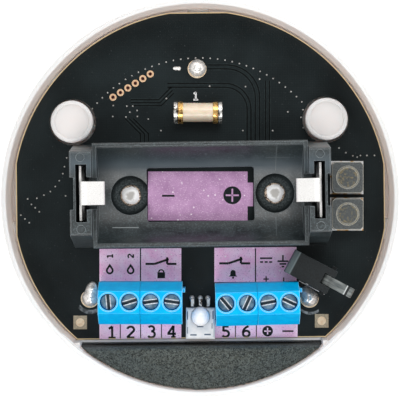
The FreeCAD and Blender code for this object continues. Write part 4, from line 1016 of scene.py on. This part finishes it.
signs = MINUS_SIGNS + PADLOCK + SMALL_PLUS + SMALL_MINUS
for text, x in BIG_NUMERALS:
    foot, scale = (FOOT_RIGHT, SMALLER) if x > 0 else (FOOT_LEFT, 1.0)
    signs += numeral(text, x, foot + math.tan(BOARD_TURN) * x, NUMERAL_HIGH * scale)
for text, x in SMALL_NUMERALS:
    small = numeral(text, 0.0, -SMALL_HIGH / 2, SMALL_HIGH, SMALL_PEN)
    signs += on_its_side(small, x, SMALL_Y)
    signs.append([set_at(part, x, DROP_Y, DROP_SIZE) for part in (DROP, DROP_HOLE)])
for x in LOWER_DIVIDERS:
    signs.append(rect(x - LOWER_DIVIDER_HALF, x + LOWER_DIVIDER_HALF, LOWER[0] - 0.1, LOWER[1]))
for x in UPPER_DIVIDERS:
    signs.append(rect(x - UPPER_DIVIDER_HALF, x + UPPER_DIVIDER_HALF, UPPER[0], UPPER[1] - 0.1))
signs += [circle(x, y, radius, 28) for x, y, radius in DISCS]
for symbol in PEN_SYMBOLS:
    signs += pen_symbol(*symbol)
signs += BELL_WITH_CLAPPER
film("legend_signs", signs, 0.02, 0.03, mask)
pluses = [centred_rect(x, y, *half) for x, y, arm, pen in PLUSES for half in ((arm, pen), (pen, arm))]
film("legend_plus", pluses, 0.03, 0.04, lilac)

# %% [markdown]
# Beside the tilt sensor and in front of the switch the board is printed in white, as most boards
# are. The corner of the switch's printed outline is all that shows from above.

# %% White ink
white_ink = blotched("screen_printed_white_ink", "#D9DADD", "#F4F4F6", size=0.2, depth=0.01,
                     detail=2.0, Roughness=0.5)
film("tilt_sensor_mark", numeral("1", -0.8, 18.1, high=1.35, pen=0.32), 0.0, 0.02, white_ink)
film("switch_outline", [stroke([(18.25, -15.3), (22.95, -17.85)], 0.12), circle(19.7, -15.95, 0.26, 12)],
     0.02, 0.04, white_ink)

# %% [markdown]
# Copper lies under the mask. Where it stops beside a trace, the bare gap shows as a darker line,
# and the mask is thicker and a little paler along both sides of that line. The longest traces
# run along the back of the board, turn forwards in a round bend and end under the cradle.

# %% Traces
UNDER_CRADLE = 9.9
SHOULDER_WIDE, GAP_WIDE = 0.52, 0.24
BEND_Y = 18.5
INNER_BEND_X, INNER_BEND_Y = 4.6, 16.3
STRAIGHT_XS = (12.1, 12.8)
OUTER_ROWS = ((24.5, 1.4, 5.0), (23.8, 1.4, 4.9))
INNER_START, INNER_YS = -6.0, (21.1, 20.4)
STRAIGHT_BACK = 21.6
JOG_START, JOG_X, JOG_RISE = -12.8, -7.6, 2.3
JOG_YS = (18.1, 17.55, 17.0)
EVEN_SPACING = 0.414
SLANTED = [(-13.8, 14.6), (-11.0, 11.8), (-11.0, UNDER_CRADLE)]
SLANTED_SHIFTS = (0.0, 0.75, 1.5)
rows = []
for y, x_start, x_bend in OUTER_ROWS:
    bend = y - BEND_Y
    rows.append([(x_start, y)] + arc(x_bend, BEND_Y, bend, 90, 0, 10) + [(x_bend + bend, UNDER_CRADLE)])
for y in INNER_YS:
    bend = y - INNER_BEND_Y
    rows.append([(INNER_START, y)] + arc(INNER_BEND_X, INNER_BEND_Y, bend, 90, 0, 10)
                + [(INNER_BEND_X + bend, UNDER_CRADLE)])
rows += [[(x, STRAIGHT_BACK), (x, UNDER_CRADLE)] for x in STRAIGHT_XS]
for y in JOG_YS:
    x = JOG_X + EVEN_SPACING * (JOG_YS[0] - y)
    rows.append([(JOG_START, y), (x, y), (x + JOG_RISE, y + JOG_RISE)])
rows += [[(x + shift, y) for x, y in SLANTED] for shift in SLANTED_SHIFTS]
shoulder = blotched("mask_over_copper_edge", "#101A1C", "#1E292A", size=0.8, depth=0.005,
                    Roughness=0.34, Specular_IOR_Level=0.35)
gap = blotched("mask_over_bare_laminate", "#020404", "#080B0C", size=0.5, depth=0.005, detail=2.0,
               Roughness=0.6, Specular_IOR_Level=0.1)
film("trace_shoulders", [stroke(row, SHOULDER_WIDE) for row in rows], 0.0, 0.006, shoulder)
film("trace_gaps", [stroke(row, GAP_WIDE) for row in rows], 0.006, 0.012, gap)

# %% [markdown]
# Vias are small plated holes that come up as bright dots. Many stand in a long arc behind the
# cradle. The others are scattered where the real ones are.

# %% Vias
VIA_RADIUS = 0.15
VIAS = [(-19.5, 14.8), (-19.45, 13.25), (-20.2, 11.5), (19.0, 16.25), (18.65, 14.85), (19.06, 12.95),
        (-24.6, 7.36), (-25.0, 5.74), (-25.3, 4.45), (-25.96, 3.15), (-26.7, 2.07), (-27.6, 1.14),
        (-28.8, 0.48), (-30.1, -0.09), (-31.8, -0.22), (-31.1, -1.22), (-30.4, -1.85), (-29.65, -2.6),
        (-33.06, -3.2), (-32.3, -3.9), (-31.5, -4.6), (-24.8, 0.35), (25.65, 9.19), (26.9, 8.32),
        (28.2, 7.73), (29.0, 7.5), (29.6, 7.8), (30.8, 7.8), (32.2, 7.8), (16.2, 15.85), (13.4, 12.4),
        (7.9, 12.4), (8.4, 20.5), (1.77, 20.6), (11.0, 21.9), (-16.0, 17.0), (-16.1, 15.0), (-13.5, 16.9),
        (-12.4, 16.9), (-12.95, 15.8), (-11.6, 16.1), (-13.65, 14.9), (-11.55, 15.0), (-9.54, 14.5),
        (-6.2, 18.3), (-7.2, 12.4)]
ARC_OF_VIAS = arc(0.0, 0.0, 25.8, 43.3, 140.4, 32)
film("via_pads", [circle(x, y, VIA_RADIUS, 8) for x, y in VIAS + ARC_OF_VIAS], 0.0, 0.015, tin)

# %% [markdown]
# The six test holes stand in a slanted row. Each has a copper ring, and inside it the wall of the
# hole, where the copper is tarnished. Two square windows in the mask show the laminate's cloth
# and frame a pale round target each, for the assembly robot.

# %% Test holes and targets
TEST_START = (-16.05, 18.55)
TEST_STEP = 1.62
TEST_WAY = math.radians(32)
RING_OUT, HOLE_OUT, HOLE_IN = 0.66, 0.34, 0.2
TARGETS = ((-22.1, -23.0), (22.45, -22.7))
WINDOW_HALF = 1.25
TARGET_RADIUS = 0.8
test_row = [(TEST_START[0] + TEST_STEP * i * math.cos(TEST_WAY),
             TEST_START[1] + TEST_STEP * i * math.sin(TEST_WAY)) for i in range(6)]
copper = blotched("bare_copper_ring", "#DCB08A", "#F3D2AC", size=0.3, depth=0.01, Metallic=0.4,
                  Roughness=0.4)
film("test_rings", [(circle(x, y, RING_OUT), circle(x, y, HOLE_OUT)) for x, y in test_row], 0.0, 0.02,
     copper)
dull = blotched("tarnished_copper_barrel", "#4A1F18", "#7A4436", size=0.2, depth=0.01,
                Metallic=0.4, Roughness=0.5)
film("test_barrels", [(circle(x, y, HOLE_OUT), circle(x, y, HOLE_IN)) for x, y in test_row], 0.0, 0.012,
     dull)
window = blotched("bare_glass_laminate", "#9C8F79", "#B5A88F", size=0.4, depth=0.01,
                  Roughness=0.55)
windows = [centred_rect(x, y, WINDOW_HALF, WINDOW_HALF) for x, y in TARGETS]
film("target_windows", windows, 0.0, 0.015, window)
beige = blotched("flash_gold_target", "#F0D3AE", "#FBEBD0", size=0.5, depth=0.006, Metallic=0.3,
                 Roughness=0.4)
film("target_dots", [circle(x, y, TARGET_RADIUS) for x, y in TARGETS], 0.015, 0.03, beige)


# %% [markdown]
# Solder wets the copper and pulls itself into a smooth mound: steep at its foot, flatter on top,
# with a slight dimple where it shrank last. Some joints were drawn out as the iron left, so their
# outline has a tail. Rings of points around the middle make the mound, and a little smooth noise
# keeps it from looking turned on a lathe. Fresh solder is glossy, but dull in patches.

# %% Solder mounds
MOUND_RINGS, MOUND_AROUND = 14, 48
FOOT_STEEP, TOP_FLAT = 2.3, 0.85
TAIL_SLIM = 6
TAIL_SINKS = 0.45
DIMPLE_WIDE = 0.3
RIPPLE = 0.9
DULL_PATCH = 0.25
SWELL, SWELL_SCALE = 0.12, 1.3
UNROUND, UNROUND_SCALE = 0.05, 3
solder, tree, shader, place = start_finish("bright_tin_solder", Metallic=0.5, Roughness=0.2)
pattern = {"Vector": place, "Scale": 1 / RIPPLE, "Detail": 3.0}
ripples = add(tree, "ShaderNodeTexNoise", pattern).outputs[0]
pattern = {"Vector": place, "Scale": 1 / DULL_PATCH, "Detail": 2.0}
fine = add(tree, "ShaderNodeTexNoise", pattern).outputs[0]
shine = add(tree, "ShaderNodeMapRange", {0: fine, 1: 0.35, 2: 0.7, 3: 0.1, 4: 0.3}).outputs[0]
silver = two_tones(tree, ripples, srgb("#E0DEDA"), srgb("#FFFDFA"), 0.4, 0.55)
finish_with(tree, shader, silver, ripples, depth=0.2, rough=shine)


def mound(name, spot, radius, high, foot, dimple=0.0, tail=0.0, tail_way=0.0, node=None, flat=1.0,
          finish=solder):
    """A solder joint. Lengths are in millimetres, foot is its height above the board."""
    bm = bmesh.new()
    rows = []
    for ring in range(MOUND_RINGS + 1):
        share = 1.0 - ring / MOUND_RINGS
        row = []
        for step in range(MOUND_AROUND if ring < MOUND_RINGS else 1):
            angle = 2 * math.pi * step / MOUND_AROUND
            toward = math.cos(angle - math.radians(tail_way))
            stretch = tail * max(toward, 0.0) ** TAIL_SLIM
            reach = (radius + stretch) * share
            x = spot[0] + reach * math.cos(angle)
            y = spot[1] + reach * math.sin(angle)
            sunk = 1.0 - TAIL_SINKS * stretch / (radius + tail) * share
            lift = high * (1.0 - share ** FOOT_STEEP) ** TOP_FLAT * sunk
            lift = min(lift, high * flat) - dimple * math.exp(-(share / DIMPLE_WIDE) ** 2)
            swell = noise.noise(Vector((x * SWELL_SCALE, y * SWELL_SCALE, high)))
            around = Vector((UNROUND_SCALE * math.cos(angle), UNROUND_SCALE * math.sin(angle), spot[0]))
            unround = UNROUND * radius * noise.noise(around) * share
            x += unround * math.cos(angle)
            y += unround * math.sin(angle)
            lift = max(lift * (1.0 + SWELL * swell), 0.0)
            row.append(bm.verts.new((x * MM, y * MM, (BOARD_TOP + foot + lift) * MM)))
        rows.append(row)
    for outer, inner in zip(rows, rows[1:]):
        for step in range(MOUND_AROUND):
            after = (step + 1) % MOUND_AROUND
            if len(inner) == 1:
                bm.faces.new((outer[step], outer[after], inner[0]))
            else:
                bm.faces.new((outer[step], outer[after], inner[after], inner[step]))
    bm.faces.new(reversed(rows[0]))
    mesh = bpy.data.meshes.new(name)
    bm.to_mesh(mesh)
    bm.free()
    piece = new_piece(name, mesh, finish)
    for polygon in mesh.polygons:
        polygon.use_smooth = len(polygon.vertices) < 5
    if node:
        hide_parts(node)
    print(name, "%.2f mm high" % (max(v.co.z for v in mesh.vertices) / MM - BOARD_TOP - foot))


# %% [markdown]
# The three probes are soldered in round pads, whose gold rims show beside the mounds. The two
# joints in front have a tail.

# %% Joints of the probes
PROBE_JOINTS = {
    "back": {"spot": (-0.5, 23.9), "radius": 1.65, "high": 1.4, "dimple": 0.35},
    "left": {"spot": (-20.25, -18.5), "radius": 1.6, "high": 1.5, "dimple": 0.1, "tail": 1.5,
             "tail_way": 78.0},
    "right": {"spot": (20.25, -18.5), "radius": 1.6, "high": 1.5, "dimple": 0.15, "tail": 0.9,
              "tail_way": 118.0},
}
PAD_SHIFT = (-0.04, -0.1)
PAD_SHOWS = 0.08
for name, joint in PROBE_JOINTS.items():
    mound("joint_" + name, foot=0.02, node="probe_solder_" + name, **joint)
    (x, y), radius = joint["spot"], joint["radius"]
    pad = circle(x + PAD_SHIFT[0], y + PAD_SHIFT[1], radius + PAD_SHOWS, 32)
    film("pad_ring_" + name, [pad], 0.0, 0.02, beige)

# %% [markdown]
# The two big joints inside the cradle have flowed out flat. They are white metal, and a crust of
# burnt flux runs around their rim. Their grey middle is a painted reflection of the tent's dark
# top in the flat solder. Distance from a point above the middle of each joint places the three
# tones, and the same ripples that shape it make them uneven.

# %% Joints of the battery contacts
TONES_FROM_ABOVE = 1.0
MIRRORED_DARK_MIDDLE = (1.2, 1.6)
CRUMB = 0.35
CRUST_FROM_RIM = (0.32, 0.42)
for side in SIDES:
    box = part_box("contact_solder_" + side)
    spot = middle_of(box)
    radius = (box[1][0] - box[0][0]) / 2 / MM
    flowed, tree, shader, place = start_finish("flowed_tin_" + side, Metallic=0.0, Roughness=0.4)
    away = {0: place, 1: (*spot, BOARD_TOP + TONES_FROM_ABOVE)}
    away = add(tree, "ShaderNodeVectorMath", away, operation="DISTANCE").outputs["Value"]
    pattern = {"Vector": place, "Scale": 1 / RIPPLE, "Detail": 3.0}
    ripples = add(tree, "ShaderNodeTexNoise", pattern).outputs[0]
    uneven = {0: ripples, 1: 1.2, 2: away}
    uneven = add(tree, "ShaderNodeMath", uneven, operation="MULTIPLY_ADD").outputs[0]
    pattern = {"Vector": place, "Scale": 1 / CRUMB, "Detail": 2.0}
    crumbs = add(tree, "ShaderNodeTexNoise", pattern).outputs[0]
    # Painted reflection: the flat middle is painted grey.
    silver = two_tones(tree, uneven, srgb("#BDBAB6"), srgb("#FFFFFF"), *MIRRORED_DARK_MIDDLE)
    crust = two_tones(tree, crumbs, srgb("#4A3226"), srgb("#F3DCC6"), 0.42, 0.55)
    inner, outer = (radius + more for more in CRUST_FROM_RIM)
    silver = two_tones(tree, uneven, silver, crust, inner, outer)
    finish_with(tree, shader, silver, ripples, depth=0.1)
    mound("contact_joint_" + side, spot, radius, 1.15, foot=0.0, node="contact_solder_" + side,
          flat=0.84, finish=flowed)

# %% [markdown]
# A stray drop of solder lies beside the back joint, and the leads of the light have small joints
# of their own, each drawn out forwards along its lead.

# %% Small drops of solder
LEAD_JOINTS = {"lead_joint_0": -1.5, "lead_joint_2": 0.05, "lead_joint_3": 1.45}
LEADS_Y = -18.5
mound("stray_drop", (-3.9, 23.85), 0.4, 0.25, foot=0.015, tail=0.7, tail_way=180.0)
for name, x in LEAD_JOINTS.items():
    mound(name, (x, LEADS_Y), 0.5, 0.7, foot=0.0, tail=0.3, tail_way=270.0)

# %% [markdown]
# In front of each lower joint lies a thin pale crescent, wider on the left. It is a painted
# reflection of the joint in the glossy board.

# %% Painted reflections in front of the joints
CRESCENT_SPOTS = (((-20.2, -18.6), 2.45), ((20.35, -18.7), 2.7))
CRESCENT_OUT = 2.85
CRESCENT_SHIFT = 0.35
CRESCENT_FROM, CRESCENT_TO = 218, 304
# Painted reflection: pale crescents in front of the joints.
reflection_finish = blotched("painted_joint_reflection", "#3A4042", "#9EA4A8", size=0.7, depth=0.0, detail=5.0,
                change=(0.4, 0.7), Roughness=0.6)
crescents = [arc(x, y, CRESCENT_OUT, CRESCENT_FROM, CRESCENT_TO, 18)
             + arc(x, y + CRESCENT_SHIFT, hollow, CRESCENT_TO, CRESCENT_FROM, 18)
             for (x, y), hollow in CRESCENT_SPOTS]
film("joint_reflections", crescents, 0.0, 0.012, reflection_finish)

# %% [markdown]
# A raised ring surrounds the mouth of each screw well. It is small, and its pale blue is a painted
# highlight, the light on the well's edge, which draws the pale circles on the blue housings. Each
# ring is centred on its screw.

# %% Rings around the screw wells
WELL_RIM_OUT, WELL_RIM_IN = 1.8, 1.68
housing_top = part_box("terminal_housing_one_two")[1][2] / MM - BOARD_TOP
# Painted highlight: a paler blue ring at each well's mouth.
well_rim_highlight = blotched("blue_polyamide_rim_highlight", "#6FC6F6", "#95D8FB", size=0.5, depth=0.01,
                     Roughness=0.35, IOR=1.53)
wells = [middle_of(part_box("terminal_screw_" + name)) for name in POLES]
rims = [(circle(x, y, WELL_RIM_OUT, 40), circle(x, y, WELL_RIM_IN, 40)) for x, y in wells]
film("well_rims", rims, housing_top - 0.02, housing_top + 0.03, well_rim_highlight)

# %% [markdown]
# Two bright lines along both sides of each screw's slot are painted highlights, where light
# catches the slot's edges. They show how each slot is turned, and they turn with the screw.

# %% Painted highlights along the slots
SLOT_ANGLES = {"one": 95, "two": 17, "three": 8, "four": -8, "five": -50, "six": 65, "plus": 10,
               "minus": -25}
SLOT_LINE_FROM_MIDDLE = 0.37
SLOT_LINE_HALF_LONG = 1.24
SLOT_LINE_WIDE = 0.17
# Painted highlights: bright strips along the slot's edges.
slot_highlight_steel = blotched("slot_edge_highlight", "#C9C9C4", "#FFFFFF", size=0.25, depth=0.02,
                      detail=4.0, Metallic=0.2, Roughness=0.3)
for name, degrees in SLOT_ANGLES.items():
    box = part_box("terminal_screw_" + name)
    x, y = middle_of(box)
    top = box[1][2] / MM - BOARD_TOP
    c, s = math.cos(math.radians(degrees)), math.sin(math.radians(degrees))
    highlight_lines = []
    for side in (-SLOT_LINE_FROM_MIDDLE, SLOT_LINE_FROM_MIDDLE):
        ends = [(x + along * c - side * s, y + along * s + side * c)
                for along in (-SLOT_LINE_HALF_LONG, SLOT_LINE_HALF_LONG)]
        highlight_lines.append(stroke(ends, SLOT_LINE_WIDE))
    film("slot_highlights_" + name, highlight_lines, top, top + 0.025, slot_highlight_steel, "screw_" + name)

# %% [markdown]
# The pad in the bay is open-cell polyurethane foam, cut with a knife, so its edges are a little
# soft. The outline is the segment that the board leaves free, and it presses a little into the
# wall. A voxel remesh gives an even skin.

# %% Foam block
PRESSED_IN = 0.4
PAD_LIFT, PAD_DROP = 0.05, 0.25
FOAM_VOXEL = 0.32
low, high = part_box("bay_pad")
pad_low, pad_high = low[2] / MM, high[2] / MM
chord = high[0] / MM * math.tan(BOARD_TURN) - high[1] / MM
reach = -low[1] / MM + PRESSED_IN
start = math.degrees(math.asin(chord / reach))
turn = math.degrees(BOARD_TURN)
outline = arc(0.0, 0.0, reach, 180 + start + turn, 360 - start + turn, 72)
bm = bmesh.new()
bottom = [bm.verts.new((x * MM, y * MM, (pad_low + PAD_LIFT) * MM)) for x, y in outline]
raised = bmesh.ops.extrude_face_region(bm, geom=[bm.faces.new(bottom)])["geom"]
for item in raised:
    if isinstance(item, bmesh.types.BMVert):
        item.co.z = (pad_high - PAD_DROP) * MM
bmesh.ops.recalc_face_normals(bm, faces=bm.faces)
mesh = bpy.data.meshes.new("foam_block")
bm.to_mesh(mesh)
bm.free()
foam_block = bpy.data.objects.new("foam_block", mesh)
bpy.context.scene.collection.objects.link(foam_block)
skin = foam_block.modifiers.new("skin", "REMESH")
skin.mode = "VOXEL"
skin.voxel_size = FOAM_VOXEL * MM
rounding = foam_block.modifiers.new("rounding", "SMOOTH")
rounding.iterations = 1
ready = foam_block.evaluated_get(bpy.context.evaluated_depsgraph_get())
foam_mesh = bpy.data.meshes.new_from_object(ready)
bpy.data.objects.remove(foam_block)
print("foam %.1f mm deep, %d points" % (reach - chord, len(foam_mesh.vertices)))

# %% [markdown]
# The foam's face is a field of tiny cells, and smooth noise of two sizes sinks them. The foam was
# pressed in, so it stands up where it rubs against the round wall and sinks along the cut by the
# board.

# %% Cells and edges of the foam
SQUEEZED_UP, SQUEEZED_FROM = 2.2, 31.5
CUT_DOWN, CUT_WIDE = 3.2, 1.0
TOP_STARTS = 1.2
COARSE_PITS, FINE_PITS = (0.08, 2.2), (0.05, 4.5)
PIT_LIMIT = 0.05
for vertex in foam_mesh.vertices:
    x, y, z = vertex.co / MM
    top = max(0.0, min(1.0, z - pad_high + TOP_STARTS))
    squeezed = max(0.0, math.hypot(x, y) - SQUEEZED_FROM) / (reach - SQUEEZED_FROM)
    from_cut = chord + y - math.tan(BOARD_TURN) * x
    sunk = max(0.0, 1.0 + from_cut / CUT_WIDE)
    pit = sum(deep * noise.noise(Vector((x, y, z)) * scale) for deep, scale in (COARSE_PITS, FINE_PITS))
    vertex.co += vertex.normal * min(pit, PIT_LIMIT) * MM
    vertex.co.z += (SQUEEZED_UP * squeezed - CUT_DOWN * sunk) * top * MM
print("foam top at %.1f mm" % (max(v.co.z for v in foam_mesh.vertices) / MM))

# %% [markdown]
# The foam's colour is a charcoal grey, and every cell is painted a shade of its own, a painted
# shading for cells that lie cut open at all angles. They are 0.2 mm wide, which is just coarse
# enough to show. Along the board the cut face is painted near-black, as painted shade.

# %% Foam finish
CELL = 0.2
TINT_PATCH = 0.9
CUT_SHADE = (0.7, 0.4)
foam_finish, tree, shader, place = start_finish("open_cell_polyurethane", Roughness=0.95,
                                                Sheen_Weight=0.2)
pattern = {"Vector": place, "Scale": 1 / CELL}
cells = add(tree, "ShaderNodeTexVoronoi", pattern, feature="F1").outputs
shade = add(tree, "ShaderNodeSeparateColor", {0: cells["Color"]}).outputs[0]
# Painted shading: each cell gets its own grey.
grey = two_tones(tree, shade, srgb("#171B1A"), srgb("#626863"), 0.0, 1.0)
pattern = {"Vector": place, "Scale": 1 / TINT_PATCH, "Detail": 2.0}
tints = add(tree, "ShaderNodeTexNoise", pattern).outputs[0]
grey = two_tones(tree, tints, grey, srgb("#4A4D44"), 0.55, 0.85)
inward = {0: place, 1: (-math.sin(BOARD_TURN), math.cos(BOARD_TURN), 0.0)}
ahead = add(tree, "ShaderNodeVectorMath", inward, operation="DOT_PRODUCT").outputs["Value"]
shade_from, shade_to = (-chord - before for before in CUT_SHADE)
# Painted shade along the cut face by the board.
grey = two_tones(tree, ahead, grey, srgb("#070908"), shade_from, shade_to)
finish_with(tree, shader, grey, cells["Distance"], depth=0.1)
foam = new_piece("foam_pad", foam_mesh, foam_finish)
for polygon in foam_mesh.polygons:
    polygon.use_smooth = True
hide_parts("bay_pad")
